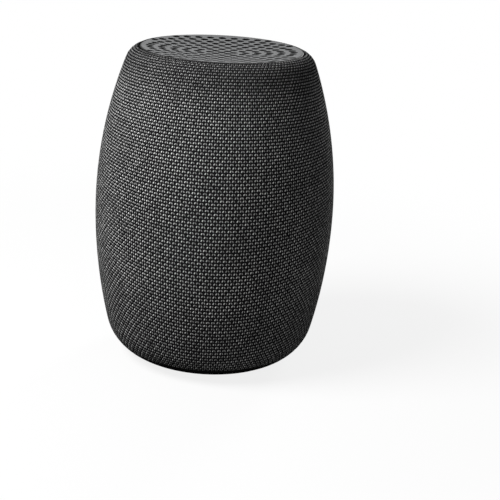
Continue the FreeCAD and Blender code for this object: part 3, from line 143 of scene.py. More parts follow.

# ---- colour and relief of the cloth; a tone is a factor on the flecks' cover, partly painted shade ----
FLECK_COLOUR = (0.88, 0.88, 0.87)
GROUND_COLOURS = ((0.003, 0.003, 0.0035), (0.014, 0.014, 0.015))
# painted shade: the right-hand bead of each fleck is darker, as if lit from the left
PAINTED_SIDE_SHADE = (0.52, 0.96)
BEAD_TONES = (0.55, 1.25)
PATCH_SIZE = 18.0 * MM
PATCH_TONES = (0.9, 1.1)
# painted shade: the flecks darken by half up the shoulder, between these heights
SHOULDER_PAINTED_SHADE = 0.5
SHOULDER_SHADE_FADE = (136.0 * MM, 156.0 * MM)
# painted shade: the flecks darken towards the bottom, over the lowest 60 mm
FOOT_PAINTED_SHADE = 0.70
FOOT_SHADE_FADE = (0.0, 60.0 * MM)
# painted shade: the flecks fade out towards the hem, between these heights
HEM_SHADE_FADE = (4.0 * MM, 9.0 * MM)
STRAND_HALF_WIDTH = 0.45
STRAND_RELIEF = 0.3
WEAVE_DEPTH = 0.20 * MM
WEAVE_STRENGTH = 0.8

# ---- near-black band on the cloth at the hem: partly the colour of the dark base rim, partly painted shade under the heel ----
HEM_SHADE_BAND_TOP = 7.6 * MM
HEM_SHADE_BAND_BLUR = 0.4 * MM
HEM_SHADE_BAND_COLOUR = (0.007, 0.007, 0.007)

# ---- grey paint on the dish: it ends just inside each hole and just short of the rim, where painted shade takes over ----
DISH_DEPTH = 2.2 * MM
# painted shade: the walls of each hole are near-black below these depths
HOLE_SHADE_DEPTHS = (0.02 * MM, 0.05 * MM)
# painted shade: a near-black band just inside the rim, in the crease against the cloth
RIM_SHADE_DISTANCES = (0.9 * MM, 0.5 * MM)
# colour of the painted shade in the holes and at the rim
HOLE_AND_RIM_SHADE_COLOUR = (0.006, 0.006, 0.006)

# ---- pale paint in the marks pressed into the rear buttons ----
BUTTON_FIRST_Z = centre_of("volume_down_button")[2]
BUTTON_PITCH = centre_of("volume_up_button")[2] - BUTTON_FIRST_Z
BUTTON_PROUD = 0.2 * MM
MARK_REACH = 2.0 * MM
MARK_PAINT_DEPTHS = (0.12 * MM, 0.24 * MM)
MARK_COLOUR = (0.42, 0.42, 0.42)

# ---- soft rings: (node, body that moves it, widths inside and outside that stay straight) ----
FLEXING_RINGS = (
    ("driver_surround", "driver_motion", 1.6 * MM, 1.6 * MM),
    ("driver_spider", "driver_motion", 1.0 * MM, 3.7 * MM),
    ("radiator_surround_left", "radiator_left", 1.4 * MM, 1.4 * MM),
    ("radiator_surround_right", "radiator_right", 1.4 * MM, 1.4 * MM),
)

# ---- floor: plain white to the eye beyond FLOOR_FAR, a little darker within FLOOR_NEAR ----
FLOOR_SIZE = 8.0
FLOOR_NEAR = 0.12
FLOOR_FAR = 0.42
FLOOR_WHITE_NEAR = 0.84
FLOOR_SEEN = (0.80, 0.80, 0.80)
FLOOR_BOUNCE = (0.20, 0.20, 0.20)

# ---- light: (name, place, diameter in metres, watts) ----
AMBIENT = 0.08
LAMP_AIM = (0.0, 0.0, 0.09)
LAMPS = (
    ("key", (-0.48, -0.235, 0.68), 0.4, 9.3),
    ("fill", (0.45, -0.95, 0.06), 0.6, 2.1),
    ("back", (0.45, 0.8, 0.27), 0.3, 5.4),
)

# ---- camera: angles in degrees, sensor and lens in millimetres ----
CAMERA_PLACE = (0.0, -0.6, 0.2581)
CAMERA_YAW = 1.837
CAMERA_PITCH = 18.72
CAMERA_ROLL = 3.28
SENSOR = 36.0
LENS = 88.75


# =====================================================================
# short forms for node trees
# =====================================================================
NOISE_LOW = 0.3
NOISE_HIGH = 0.7


class Tree:
    """A node tree, emptied. Numbers given to a call are set on the node's own sockets."""

    def __init__(self, node_tree):
        self.nodes = node_tree.nodes
        self.links = node_tree.links
        self.nodes.clear()

    def put(self, socket, value):
        if isinstance(value, bpy.types.NodeSocket):
            self.links.new(value, socket)
        elif value is not None:
            socket.default_value = value

    def place(self):
        """Position on the piece in metres; it moves with the piece."""
        return self.nodes.new("ShaderNodeTexCoord").outputs["Object"]

    def uv(self, name):
        node = self.nodes.new("ShaderNodeUVMap")
        node.uv_map = name
        return node.outputs["UV"]

    def split(self, vector):
        node = self.nodes.new("ShaderNodeSeparateXYZ")
        self.put(node.inputs[0], vector)
        return node.outputs

    def join(self, x, y, z):
        node = self.nodes.new("ShaderNodeCombineXYZ")
        for socket, value in zip(node.inputs, (x, y, z)):
            self.put(socket, value)
        return node.outputs[0]

    def math(self, operation, a, b=None, c=None, clamp=False):
        node = self.nodes.new("ShaderNodeMath")
        node.operation = operation
        node.use_clamp = clamp
        for socket, value in zip(node.inputs, (a, b, c)):
            self.put(socket, value)
        return node.outputs[0]

    def product(self, first, *others):
        for other in others:
            first = self.math("MULTIPLY", first, other)
        return first

    def squares(self, a, b):
        """Sum of the squares of a and b."""
        return self.math("ADD", self.math("MULTIPLY", a, a), self.math("MULTIPLY", b, b))

    def hypot(self, a, b):
        return self.math("SQRT", self.squares(a, b))

    def off_middle(self, value):
        """How far a value is from the middle of its whole step: -0.5 to 0.5."""
        return self.math("SUBTRACT", self.math("FRACT", value), 0.5)

    def wave(self, value, length):
        """Sine wave of the given length."""
        return self.math("SINE", self.math("MULTIPLY", value, 2 * math.pi / length))

    def scaled(self, vector, factors):
        node = self.nodes.new("ShaderNodeVectorMath")
        node.operation = "MULTIPLY"
        self.put(node.inputs[0], vector)
        self.put(node.inputs[1], factors)
        return node.outputs[0]

    def noise(self, vector, size, detail=2.0, roughness=0.5):
        """Noise whose features are about the given size across."""
        node = self.nodes.new("ShaderNodeTexNoise")
        self.put(node.inputs["Vector"], vector)
        node.inputs["Scale"].default_value = 1.0 / size
        node.inputs["Detail"].default_value = detail
        node.inputs["Roughness"].default_value = roughness
        return node.outputs["Fac"]

    def cells(self, vector, size, feature="F1"):
        """Distance to the cells' points, or to their edges, in units of the given size."""
        node = self.nodes.new("ShaderNodeTexVoronoi")
        node.feature = feature
        self.put(node.inputs["Vector"], vector)
        node.inputs["Scale"].default_value = 1.0 / size
        return node.outputs["Distance"]

    def random(self, vector):
        node = self.nodes.new("ShaderNodeTexWhiteNoise")
        self.put(node.inputs["Vector"], vector)
        return node.outputs["Value"]

    def ramp(self, value, low, high, to_low=0.0, to_high=1.0, smooth=False):
        node = self.nodes.new("ShaderNodeMapRange")
        node.interpolation_type = "SMOOTHSTEP" if smooth else "LINEAR"
        for socket, number in zip(node.inputs, (value, low, high, to_low, to_high)):
            self.put(socket, number)
        return node.outputs[0]

    def spread(self, noise, to_low=0.0, to_high=1.0):
        """Stretches the middle of a noise's range, where most of it lies."""
        return self.ramp(noise, NOISE_LOW, NOISE_HIGH, to_low, to_high)

    def mix(self, share, first, second):
        """Colour between two colours."""
        node = self.nodes.new("ShaderNodeMix")
        node.data_type = "RGBA"
        self.put(node.inputs["Factor"], share)
        for socket, colour in ((node.inputs[6], first), (node.inputs[7], second)):
            self.put(socket, (*colour, 1.0) if isinstance(colour, tuple) else colour)
        return node.outputs[2]

    def mix_shaders(self, share, first, second):
        node = self.nodes.new("ShaderNodeMixShader")
        for socket, source in zip(node.inputs, (share, first, second)):
            self.put(socket, source)
        return node.outputs[0]

    def bump(self, height, distance, strength=1.0):
        node = self.nodes.new("ShaderNodeBump")
        node.inputs["Strength"].default_value = strength
        node.inputs["Distance"].default_value = distance
        self.put(node.inputs["Height"], height)
        return node.outputs[0]


class MaterialTree(Tree):
    """One material: a Principled shader and what feeds it."""

    def __init__(self, name):
        self.material = bpy.data.materials.new(name)
        self.material.use_nodes = True
        super().__init__(self.material.node_tree)
        self.output = self.nodes.new("ShaderNodeOutputMaterial")
        self.shader = self.nodes.new("ShaderNodeBsdfPrincipled")
        self.put(self.output.inputs["Surface"], self.shader.outputs[0])

    def surface(self, **values):
        """Sets the shader's sockets: Base_Color becomes Base Color."""
        for name, value in values.items():
            self.put(self.shader.inputs[name.replace("_", " ")], value)


# =====================================================================
# finishes; a size given to one is in millimetres
# =====================================================================
def shade(colour, factor):
    return tuple(channel * factor for channel in colour)


def uneven(tree, place, colour, patch=14):
    """Colour of a moulding, with broad patches a little darker and lighter."""
    patches = tree.noise(place, patch * MM)
    return tree.mix(tree.spread(patches), shade(colour, 0.93), shade(colour, 1.07))


def plastic(tree, colour, roughness, grain=0.35, depth=0.03, coat=0.0):
    """Moulded plastic with a fine eroded grain."""
    place = tree.place()
    fine = tree.noise(place, grain * MM, detail=3.0, roughness=0.6)
    tree.surface(
        Base_Color=uneven(tree, place, colour),
        Roughness=tree.spread(fine, roughness - 0.05, roughness + 0.05),
        Normal=tree.bump(fine, depth * MM),
        Coat_Weight=coat,
    )


def metal(tree, colour, roughness, grain=0.5, patch=6, depth=0.01, stretch=(1.0, 1.0, 8.0)):
    """Metal with drawn or brushed marks along one axis and faint tarnish."""
    place = tree.place()
    marks = tree.noise(tree.scaled(place, stretch), grain * MM, detail=3.0, roughness=0.6)
    clean = tree.ramp(tree.noise(place, patch * MM, detail=3.0), 0.35, 0.7)
    tree.surface(
        Base_Color=tree.mix(clean, shade(colour, 0.85), colour),
        Metallic=1.0,
        Roughness=tree.spread(marks, roughness - 0.07, roughness + 0.1),
        Normal=tree.bump(marks, depth * MM),
    )


def rubber(tree, colour, roughness=0.75, grain=0.5, patch=9, depth=0.05):
    """Rubber with a fine skin and a paler bloom in patches."""
    place = tree.place()
    skin = tree.noise(place, grain * MM, detail=4.0, roughness=0.65)
    bloom = tree.ramp(tree.noise(place, patch * MM, detail=3.0), 0.35, 0.75)
    tree.surface(
        Base_Color=tree.mix(bloom, colour, shade(colour, 1.6)),
        Roughness=tree.spread(skin, roughness - 0.06, roughness + 0.08),
        Normal=tree.bump(skin, depth * MM),
        Specular_IOR_Level=0.35,
    )


def cloth(tree, colour, pitch, depth=0.08):
    """Fine technical cloth, woven on the X and Y axes."""
    x, y, _ = tree.split(tree.place())
    crossings = tree.math("MULTIPLY", tree.wave(x, pitch * MM), tree.wave(y, pitch * MM))
    weave = tree.ramp(crossings, -1.0, 1.0)
    tree.surface(
        Base_Color=tree.mix(weave, shade(colour, 0.5), shade(colour, 1.3)),
        Roughness=0.85,
        Normal=tree.bump(weave, depth * MM),
        Sheen_Weight=0.2,
    )


def board(tree, colour, track_spacing=2.4, pad_spacing=3.1, patch=1.5, depth=0.03):
    """Circuit board: solder mask with copper tracks that show as low ridges, and pale pads."""
    track_edge = (0.06, 0.10)
    pad_edge = (0.10, 0.14)
    place = tree.place()
    edges = tree.cells(place, track_spacing * MM, feature="DISTANCE_TO_EDGE")
    track = tree.ramp(edges, *track_edge, 1.0, 0.0)
    pads = tree.ramp(tree.cells(place, pad_spacing * MM), *pad_edge, 1.0, 0.0)
    mask = tree.mix(track, colour, shade(colour, 1.9))
    tree.surface(
        Base_Color=tree.mix(pads, mask, (0.55, 0.56, 0.52)),
        Metallic=tree.math("MULTIPLY", pads, 0.8),
        Roughness=tree.spread(tree.noise(place, patch * MM), 0.28, 0.42),
        Normal=tree.bump(track, depth * MM),
    )


def paper_cone(tree, colour, fibre=0.8, depth=0.06):
    """Pressed cone material with long fibres."""
    long_in_x_and_z = tree.scaled(tree.place(), (1.0, 3.0, 1.0))
    fibres = tree.noise(long_in_x_and_z, fibre * MM, detail=5.0, roughness=0.7)
    tree.surface(
        Base_Color=tree.mix(tree.spread(fibres), shade(colour, 0.7), shade(colour, 1.4)),
        Roughness=0.7,
        Normal=tree.bump(fibres, depth * MM),
    )


def windings(tree, colour, pitch=0.35, depth=0.12):
    """Enamelled wire wound round the Z axis, with painted shade in the grooves between turns."""
    _, _, z = tree.split(tree.place())
    wire = tree.ramp(tree.wave(z, pitch * MM), -1.0, 1.0)
    tree.surface(
        Base_Color=tree.mix(wire, shade(colour, 0.45), colour),
        Metallic=0.9,
        Roughness=tree.ramp(wire, 0.0, 1.0, 0.5, 0.28),
        Normal=tree.bump(wire, depth * MM),
    )


def foam(tree, colour, pore=0.5, depth=0.15):
    """Open-pored foam with painted shade in its pores."""
    pores = tree.cells(tree.place(), pore * MM)
    tree.surface(
        Base_Color=tree.mix(tree.ramp(pores, 0.1, 0.6), shade(colour, 0.5), shade(colour, 1.2)),
        Roughness=0.95,
        Normal=tree.bump(pores, depth * MM),
    )


def lens(tree, colour, haze_size=0.6, depth=0.02):
    """Milky moulded lens."""
    haze = tree.noise(tree.place(), haze_size * MM)
    tree.surface(
        Base_Color=tree.mix(tree.spread(haze), shade(colour, 0.92), colour),
        Roughness=0.25,
        Subsurface_Weight=0.3,
        Subsurface_Radius=(1.0 * MM, 1.0 * MM, 1.0 * MM),
        Normal=tree.bump(haze, depth * MM),
    )


def painted_dish(tree, colour, grain=0.3, depth=0.02):
    """Grey paint on the dished face; its edge and the walls of its holes are near-black painted shade."""
    rim_radius, _, rim_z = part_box("top_dish")[1]
    sphere = (rim_radius ** 2 + DISH_DEPTH ** 2) / (2 * DISH_DEPTH)
    place = tree.place()
    x, y, z = tree.split(place)
    squares = tree.squares(x, y)
    fall = tree.math("SQRT", tree.math("SUBTRACT", sphere ** 2, squares))
    face = tree.math("SUBTRACT", rim_z - DISH_DEPTH + sphere, fall)
    grey_above_hole_shade = tree.ramp(tree.math("SUBTRACT", face, z), *HOLE_SHADE_DEPTHS, 1.0, 0.0)
    rim_shade_edges = [rim_radius - shade_distance for shade_distance in RIM_SHADE_DISTANCES]
    grey_inside_rim_shade = tree.ramp(tree.math("SQRT", squares), *rim_shade_edges, 1.0, 0.0)
    paint = tree.math("MULTIPLY", grey_above_hole_shade, grey_inside_rim_shade)
    fine = tree.noise(place, grain * MM, detail=3.0, roughness=0.6)
    tree.surface(
        Base_Color=tree.mix(paint, HOLE_AND_RIM_SHADE_COLOUR, uneven(tree, place, colour)),
        Roughness=tree.spread(fine, 0.55, 0.66),
        Specular_IOR_Level=0.15,
        Normal=tree.bump(fine, depth * MM),
    )


def marked_button(tree, colour, grain=0.3, depth=0.02):
    """Dark moulded key with pale paint in its pressed-in mark."""
    (arc_reach, arc_z), arc_radius = side_arc(HEEL_CENTRE, HEEL_RADIUS)
    place = tree.place()
    x, y, z = tree.split(place)
    along = tree.math("SUBTRACT", tree.hypot(x, y), arc_reach)
    up = tree.math("SUBTRACT", z, arc_z)
    below_face = tree.math("SUBTRACT", arc_radius + BUTTON_PROUD, tree.hypot(along, up))
    off_key = tree.math("PINGPONG", tree.math("SUBTRACT", z, BUTTON_FIRST_Z), BUTTON_PITCH / 2)
    near_axis = tree.math("LESS_THAN", tree.squares(x, off_key), MARK_REACH ** 2)
    paint = tree.math("MULTIPLY", near_axis, tree.ramp(below_face, *MARK_PAINT_DEPTHS))
    fine = tree.noise(place, grain * MM, detail=3.0)
    tree.surface(
        Base_Color=tree.mix(paint, colour, MARK_COLOUR),
        Roughness=tree.spread(fine, 0.52, 0.66),
        Specular_IOR_Level=0.3,
        Normal=tree.bump(fine, depth * MM),
    )


# ---- material slot: (finish, its values); the cloth has a material of its own ----
SLOT_FINISHES = {
    "shell_plastic": (plastic, dict(colour=(0.020, 0.020, 0.022), roughness=0.55)),
    "base_plastic": (plastic, dict(colour=(0.012, 0.012, 0.013), roughness=0.42, grain=0.3)),
    "dish_plastic": (painted_dish, dict(colour=(0.127, 0.129, 0.131))),
    "screen_cloth": (cloth, dict(colour=(0.010, 0.010, 0.011), pitch=0.35)),
    "foot_rubber": (rubber, dict(colour=(0.022, 0.022, 0.023))),
    "black_steel": (metal, dict(colour=(0.060, 0.060, 0.065), roughness=0.38)),
    "circuit_board": (board, dict(colour=(0.012, 0.060, 0.028))),
    "metal_can": (metal, dict(colour=(0.62, 0.62, 0.60), roughness=0.30, stretch=(1.0, 6.0, 1.0))),
    "led_lens": (lens, dict(colour=(0.80, 0.82, 0.84))),
    "core_plastic": (plastic, dict(colour=(0.030, 0.031, 0.034), roughness=0.50, grain=0.5, depth=0.05)),
    "gasket_foam": (foam, dict(colour=(0.030, 0.030, 0.032))),
    "basket_steel": (metal, dict(colour=(0.11, 0.11, 0.12), roughness=0.45, stretch=(1.0, 1.0, 1.0))),
    "zinc_steel": (metal, dict(colour=(0.56, 0.57, 0.58), roughness=0.32, grain=0.8)),
    "ferrite": (rubber, dict(colour=(0.045, 0.045, 0.048), roughness=0.6, grain=0.9, depth=0.08)),
    "copper_wire": (windings, dict(colour=(0.75, 0.33, 0.15))),
    "spider_cloth": (cloth, dict(colour=(0.42, 0.25, 0.09), pitch=0.7)),
    "cone_film": (paper_cone, dict(colour=(0.028, 0.028, 0.030))),
    "surround_rubber": (rubber, dict(colour=(0.016, 0.016, 0.017), roughness=0.55, grain=1.2, depth=0.02)),
    "connector_plastic": (plastic, dict(colour=(0.62, 0.60, 0.52), roughness=0.45)),
    "contact_brass": (metal, dict(colour=(0.78, 0.60, 0.28), roughness=0.30)),
    "lead_insulation": (rubber, dict(colour=(0.30, 0.015, 0.012), roughness=0.45, grain=0.8, depth=0.01)),
    "radiator_alloy": (metal, dict(colour=(0.50, 0.51, 0.53), roughness=0.36, stretch=(6.0, 1.0, 1.0))),
    "chip_epoxy": (plastic, dict(colour=(0.016, 0.016, 0.018), roughness=0.60, grain=0.25)),
    "capacitor_sleeve": (plastic, dict(colour=(0.020, 0.024, 0.075), roughness=0.30, coat=0.3)),
    "heat_sink_alloy": (metal, dict(colour=(0.55, 0.56, 0.58), roughness=0.42, stretch=(1.0, 8.0, 1.0))),
    "antenna_film": (plastic, dict(colour=(0.50, 0.22, 0.05), roughness=0.30, coat=0.4)),
    "switch_body": (plastic, dict(colour=(0.025, 0.025, 0.028), roughness=0.5)),
    "inlet_steel": (metal, dict(colour=(0.60, 0.60, 0.60), roughness=0.25, grain=0.3)),
    "button_plastic": (marked_button, dict(colour=(0.020, 0.020, 0.021))),
}


def dress_cad_nodes():
    """Gives every CAD node but the cloth the finish of its material slot."""
    finished = {}
    for name, slot in MATERIAL_SLOTS.items():
        if slot not in SLOT_FINISHES:
            continue
        if slot not in finished:
            tree = MaterialTree(slot)
            finish, values = SLOT_FINISHES[slot]
            finish(tree, **values)
            finished[slot] = tree.material
        materials = frame["nodes"][name].data.materials
        materials.clear()
        materials.append(finished[slot])


# =====================================================================
# suspensions of the driver and the radiators
# =====================================================================
def flexing_ring(name, moving, inner_land, outer_land):
    """Soft ring copied from the CAD's solid in its shape and place; the solid is hidden."""
    solid = frame["nodes"][name]
    ring = bpy.data.objects.new(name + "_flexing", solid.data.copy())
    ring.data.transform(solid.matrix_world)
    bpy.context.scene.collection.objects.link(ring)
    size = [high - low for low, high in zip(*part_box(name))]
    middle = centre_of(name)
    across = [axis for axis in range(3) if axis != size.index(min(size))]
    places = [vertex.co.copy() for vertex in ring.data.vertices]
    radii = [math.hypot(*(place[axis] - middle[axis] for axis in across)) for place in places]
    for vertex, radius in zip(ring.data.vertices, radii):
        vertex.co = (radius, 0, 0)
    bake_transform(ring)
    for vertex, place in zip(ring.data.vertices, places):
        vertex.co = place
    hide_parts(name)


# =====================================================================
# woven sleeve: its outline, as (radius, height) from the middle of the barrel
# =====================================================================
def side_arc(blend_centre, blend_radius):
    """Centre and radius of the arc that is upright at the widest place and touches a blend arc."""
    setback = MAX_RADIUS - blend_centre[0]
    rise = blend_centre[1] - WIDEST_Z
    radius = (setback ** 2 + rise ** 2 - blend_radius ** 2) / (2 * (setback - blend_radius))
    return (MAX_RADIUS - radius, WIDEST_Z), radius


def angle_between(centre, other):
    """Angle of the way from one arc's centre to another's."""
    return math.atan2(other[1] - centre[1], other[0] - centre[0])


def profile_arcs():
    """The outline from hem to lip: (centre, radius, start angle, end angle) of each arc."""
    low_centre, low_radius = side_arc(HEEL_CENTRE, HEEL_RADIUS)
    high_centre, high_radius = side_arc(SHOULDER_CENTRE, SHOULDER_RADIUS)
    hem_angle = -math.asin((HEEL_RADIUS - HEM_Z) / HEEL_RADIUS)
    heel_angle = angle_between(low_centre, HEEL_CENTRE)
    shoulder_angle = angle_between(high_centre, SHOULDER_CENTRE)
    lip_angle = math.acos(LIP_REACH / SHOULDER_RADIUS)
    return [
        (HEEL_CENTRE, HEEL_RADIUS, hem_angle, heel_angle),
        (low_centre, low_radius, heel_angle, 0.0),
        (high_centre, high_radius, 0.0, shoulder_angle),
        (SHOULDER_CENTRE, SHOULDER_RADIUS, shoulder_angle, lip_angle),
    ]


ARCS = profile_arcs()
PROFILE_LENGTH = sum(radius * (end - start) for _, radius, start, end in ARCS)
WEFTS = round(PROFILE_LENGTH / WEFT_PITCH)


def on_profile(distance, inset):
    """(radius, height) at a distance along the outline from the hem, moved inwards by an inset."""
    for centre, radius, start, end in ARCS:
        length = radius * (end - start)
        if distance <= length or (centre, radius) == ARCS[-1][:2]:
            angle = start + distance / radius
            reach = radius - inset
            return centre[0] + reach * math.cos(angle), centre[1] + reach * math.sin(angle)
        distance -= length


# =====================================================================
# woven sleeve: its mesh
# =====================================================================
def ring_of(mesh, radius, z):
    """One ring of vertices, from the front round to the right."""
    ring = []
    for column in range(COLUMNS):
        angle = 2 * math.pi * column / COLUMNS - math.pi / 2
        ring.append(mesh.verts.new((radius * math.cos(angle), radius * math.sin(angle), z)))
    return ring


def strip(mesh, uv_layer, lower, upper, v_low, v_high):
    """Faces between two rings, with u round the ring."""
    for i in range(COLUMNS):
        j = (i + 1) % COLUMNS
        face = mesh.faces.new([lower[i], lower[j], upper[j], upper[i]])
        face.smooth = True
        corners = ((i, v_low), (i + 1, v_low), (i + 1, v_high), (i, v_high))
        for loop, (column, v) in zip(face.loops, corners):
            loop[uv_layer].uv = (column / COLUMNS, v)


def wall(mesh, uv_layer, rows, inset, v_start, v_end):
    """One side of the cloth, from hem to lip; returns its first and last rings."""
    rings = [ring_of(mesh, *on_profile(PROFILE_LENGTH * row / rows, inset)) for row in range(rows + 1)]
    steps = [v_start + (v_end - v_start) * row / rows for row in range(rows + 1)]
    for row in range(rows):
        strip(mesh, uv_layer, rings[row], rings[row + 1], steps[row], steps[row + 1])
    return rings[0], rings[-1]


def finished_object(mesh, name):
    """Turns a bmesh into an object of the scene."""
    bmesh.ops.recalc_face_normals(mesh, faces=mesh.faces)
    data = bpy.data.meshes.new(name)
    mesh.to_mesh(data)
    mesh.free()
    made = bpy.data.objects.new(name, data)
    bpy.context.scene.collection.objects.link(made)
    return made


def sleeve_tube():
    """Closed tube of cloth, with v along the outline on its outer face."""
    mesh = bmesh.new()
    uv_layer = mesh.loops.layers.uv.new(UV_LAYER)
    outer_hem, outer_lip = wall(mesh, uv_layer, OUTER_ROWS, 0.0, 0.0, OUTER_UV_SHARE)
    inner_hem, inner_lip = wall(mesh, uv_layer, INNER_ROWS, FABRIC, INNER_UV_START, INNER_UV_END)
    strip(mesh, uv_layer, outer_lip, inner_lip, OUTER_UV_SHARE, OUTER_UV_SHARE + EDGE_UV_SHARE)
    strip(mesh, uv_layer, inner_hem, outer_hem, INNER_UV_END, INNER_UV_END + EDGE_UV_SHARE)
    return finished_object(mesh, "woven_sleeve")


def pill_outline(width, low, high):
    """Points of an upright slot shape in X and Z."""
    r = width / 2
    points = []
    for centre_z, first in ((high - r, 0.0), (low + r, math.pi)):
        for i in range(END_STEPS + 1):
            angle = first + math.pi * i / END_STEPS
            points.append((r * math.cos(angle), centre_z + r * math.sin(angle)))
    return points


def opening_cutter():
    """Prism that cuts the rear opening out of the sleeve."""
    mesh = bmesh.new()
    uv_layer = mesh.loops.layers.uv.new(UV_LAYER)
    outline = pill_outline(OPENING_WIDTH, OPENING_BOTTOM, OPENING_TOP)
    near = [mesh.verts.new((x, CUTTER_NEAR, z)) for x, z in outline]
    far = [mesh.verts.new((x, CUTTER_FAR, z)) for x, z in outline]
    count = len(outline)
    mesh.faces.new(near)
    mesh.faces.new(list(reversed(far)))
    for i in range(count):
        j = (i + 1) % count
        face = mesh.faces.new([near[j], near[i], far[i], far[j]])
        for loop, u in zip(face.loops, (i + 1, i, i, i + 1)):
            loop[uv_layer].uv = (u / count, CUT_UV)
    return finished_object(mesh, "opening_cutter")


def woven_sleeve():
    """Sleeve of cloth with the rear opening cut out, in place of the CAD's plain one."""
    sleeve = sleeve_tube()
    cutter = opening_cutter()
    cut = sleeve.modifiers.new("rear_opening", "BOOLEAN")
    cut.operation = "DIFFERENCE"
    cut.object = cutter
    cut.solver = "MANIFOLD"
    bpy.context.view_layer.objects.active = sleeve
    bpy.ops.object.modifier_apply(modifier=cut.name)
    bpy.data.objects.remove(cutter)
    sleeve.data.materials.clear()
    sleeve.data.materials.append(weave_material())
    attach(sleeve, "housing")
    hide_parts("fabric_sleeve")


# =====================================================================
# woven sleeve: its material
# =====================================================================
def bead_distance(tree, x, y):
    """Distance in millimetres to a leaning bar, mirrored about x = 0."""
    run = (BEAD_TOP[0] - BEAD_FOOT[0], BEAD_TOP[1] - BEAD_FOOT[1])
    length = math.hypot(*run)
    along = (run[0] / length, run[1] / length)
    dx = tree.math("SUBTRACT", tree.math("ABSOLUTE", x), BEAD_FOOT[0])
    dy = tree.math("SUBTRACT", y, BEAD_FOOT[1])
    travel = tree.math("ADD", tree.math("MULTIPLY", dx, along[0]), tree.math("MULTIPLY", dy, along[1]))
    travel = tree.math("MINIMUM", tree.math("MAXIMUM", travel, 0.0), length)
    off_x = tree.math("SUBTRACT", dx, tree.math("MULTIPLY", travel, along[0]))
    off_y = tree.math("SUBTRACT", dy, tree.math("MULTIPLY", travel, along[1]))
    return tree.hypot(off_x, off_y)


def weft_rows(tree, v):
    """Rows up from the hem. They spread towards the hem, and each rises towards the back."""
    x, y, z = tree.split(tree.place())
    share = tree.math("MULTIPLY", v, 1.0 / OUTER_UV_SHARE)
    bend = (1.0 / PITCH_AT_LIP - 1.0 / PITCH_AT_HEM) / 2
    density = tree.math("MULTIPLY_ADD", share, bend, 1.0 / PITCH_AT_HEM)
    rows = tree.product(share, float(WEFTS), density)
    radius = tree.hypot(x, y)
    behind_front = tree.math("ADD", radius, y)
    ease = tree.math("MULTIPLY_ADD", tree.math("DIVIDE", behind_front, radius), -LIFT_EASE, 1.0)
    lift = tree.ramp(z, LIFT_LOW_Z, LIFT_HIGH_Z, LIFT_LOW, LIFT_HIGH, smooth=True)
    return tree.math("SUBTRACT", rows, tree.product(behind_front, lift, 1.0 / WEFT_PITCH, ease))


def cover_tone_and_painted_shade(tree, z, left, bead_id):
    """Factor on the flecks' cover: painted shade on the right-hand bead and by height towards the shoulder,
    foot and hem, and a tone that differs from bead to bead and in patches.
    """
    return tree.product(
        tree.ramp(left, 0.0, 1.0, *PAINTED_SIDE_SHADE),
        tree.ramp(tree.random(bead_id), 0.0, 1.0, *BEAD_TONES),
        tree.spread(tree.noise(tree.place(), PATCH_SIZE, detail=3.0), *PATCH_TONES),
        tree.ramp(z, *SHOULDER_SHADE_FADE, 1.0, SHOULDER_PAINTED_SHADE, smooth=True),
        tree.product(
            tree.ramp(z, *FOOT_SHADE_FADE, FOOT_PAINTED_SHADE, 1.0, smooth=True),
            tree.ramp(z, *HEM_SHADE_FADE, 0.0, 1.0, smooth=True),
        ),
    )


def weave_material():
    """Pale flecked yarn shows where it crosses over, near-black yarn between; alternate rows are shifted."""
    tree = MaterialTree("fabric_wrap")
    _, _, z = tree.split(tree.place())
    u, v, _ = tree.split(tree.uv(UV_LAYER))
    warps = tree.math("MULTIPLY", u, float(WARPS))
    rows = weft_rows(tree, v)
    weft = tree.math("FLOOR", rows)
    shift = tree.math("MULTIPLY", tree.math("MODULO", weft, 2.0), SHIFT_PER_ROW)
    steps = tree.math("ADD", tree.math("MULTIPLY_ADD", warps, 1 / WARPS_PER_FLECK, FIRST_FLECK), shift)
    fleck = tree.math("FLOOR", steps)
    x = tree.math("MULTIPLY", tree.off_middle(steps), WARPS_PER_FLECK * WARP_PITCH)
    y = tree.math("MULTIPLY", tree.off_middle(rows), ROW_HEIGHT)
    across = tree.random(tree.join(fleck, weft, SEED_ACROSS))
    upwards = tree.random(tree.join(fleck, weft, SEED_UPWARDS))
    x = tree.math("ADD", x, tree.ramp(across, 0.0, 1.0, -JITTER, JITTER))
    y = tree.math("ADD", y, tree.ramp(upwards, 0.0, 1.0, -JITTER / 2, JITTER / 2))
    bead = tree.ramp(bead_distance(tree, x, y), BEAD_CORE, BEAD_EDGE, 1.0, 0.0, smooth=True)
    left = tree.math("LESS_THAN", x, 0.0)
    tone = cover_tone_and_painted_shade(tree, z, left, tree.join(fleck, weft, left))
    outside = tree.math("LESS_THAN", v, OUTER_UV_SHARE)
    share = tree.math("MULTIPLY", tree.math("MULTIPLY", bead, tone), outside, clamp=True)
    off_strand = tree.math("ABSOLUTE", tree.off_middle(warps))
    strand = tree.ramp(off_strand, 0.0, STRAND_HALF_WIDTH, 1.0, 0.0, smooth=True)
    # near-black band on the cloth at the hem: partly the colour of the dark base rim there, partly painted
    # shade under the heel
    above_hem_shade_band = tree.ramp(z, HEM_SHADE_BAND_TOP - HEM_SHADE_BAND_BLUR, HEM_SHADE_BAND_TOP + HEM_SHADE_BAND_BLUR)
    relief = tree.math("MULTIPLY_ADD", strand, STRAND_RELIEF, bead)
    height = tree.math("MULTIPLY", relief, above_hem_shade_band)
    woven = tree.mix(share, tree.mix(strand, *GROUND_COLOURS), FLECK_COLOUR)
    tree.surface(
        Base_Color=tree.mix(above_hem_shade_band, HEM_SHADE_BAND_COLOUR, woven),
        Roughness=0.9,
        Specular_IOR_Level=0.0,
        Normal=tree.bump(height, WEAVE_DEPTH, WEAVE_STRENGTH),
    )
    return tree.material


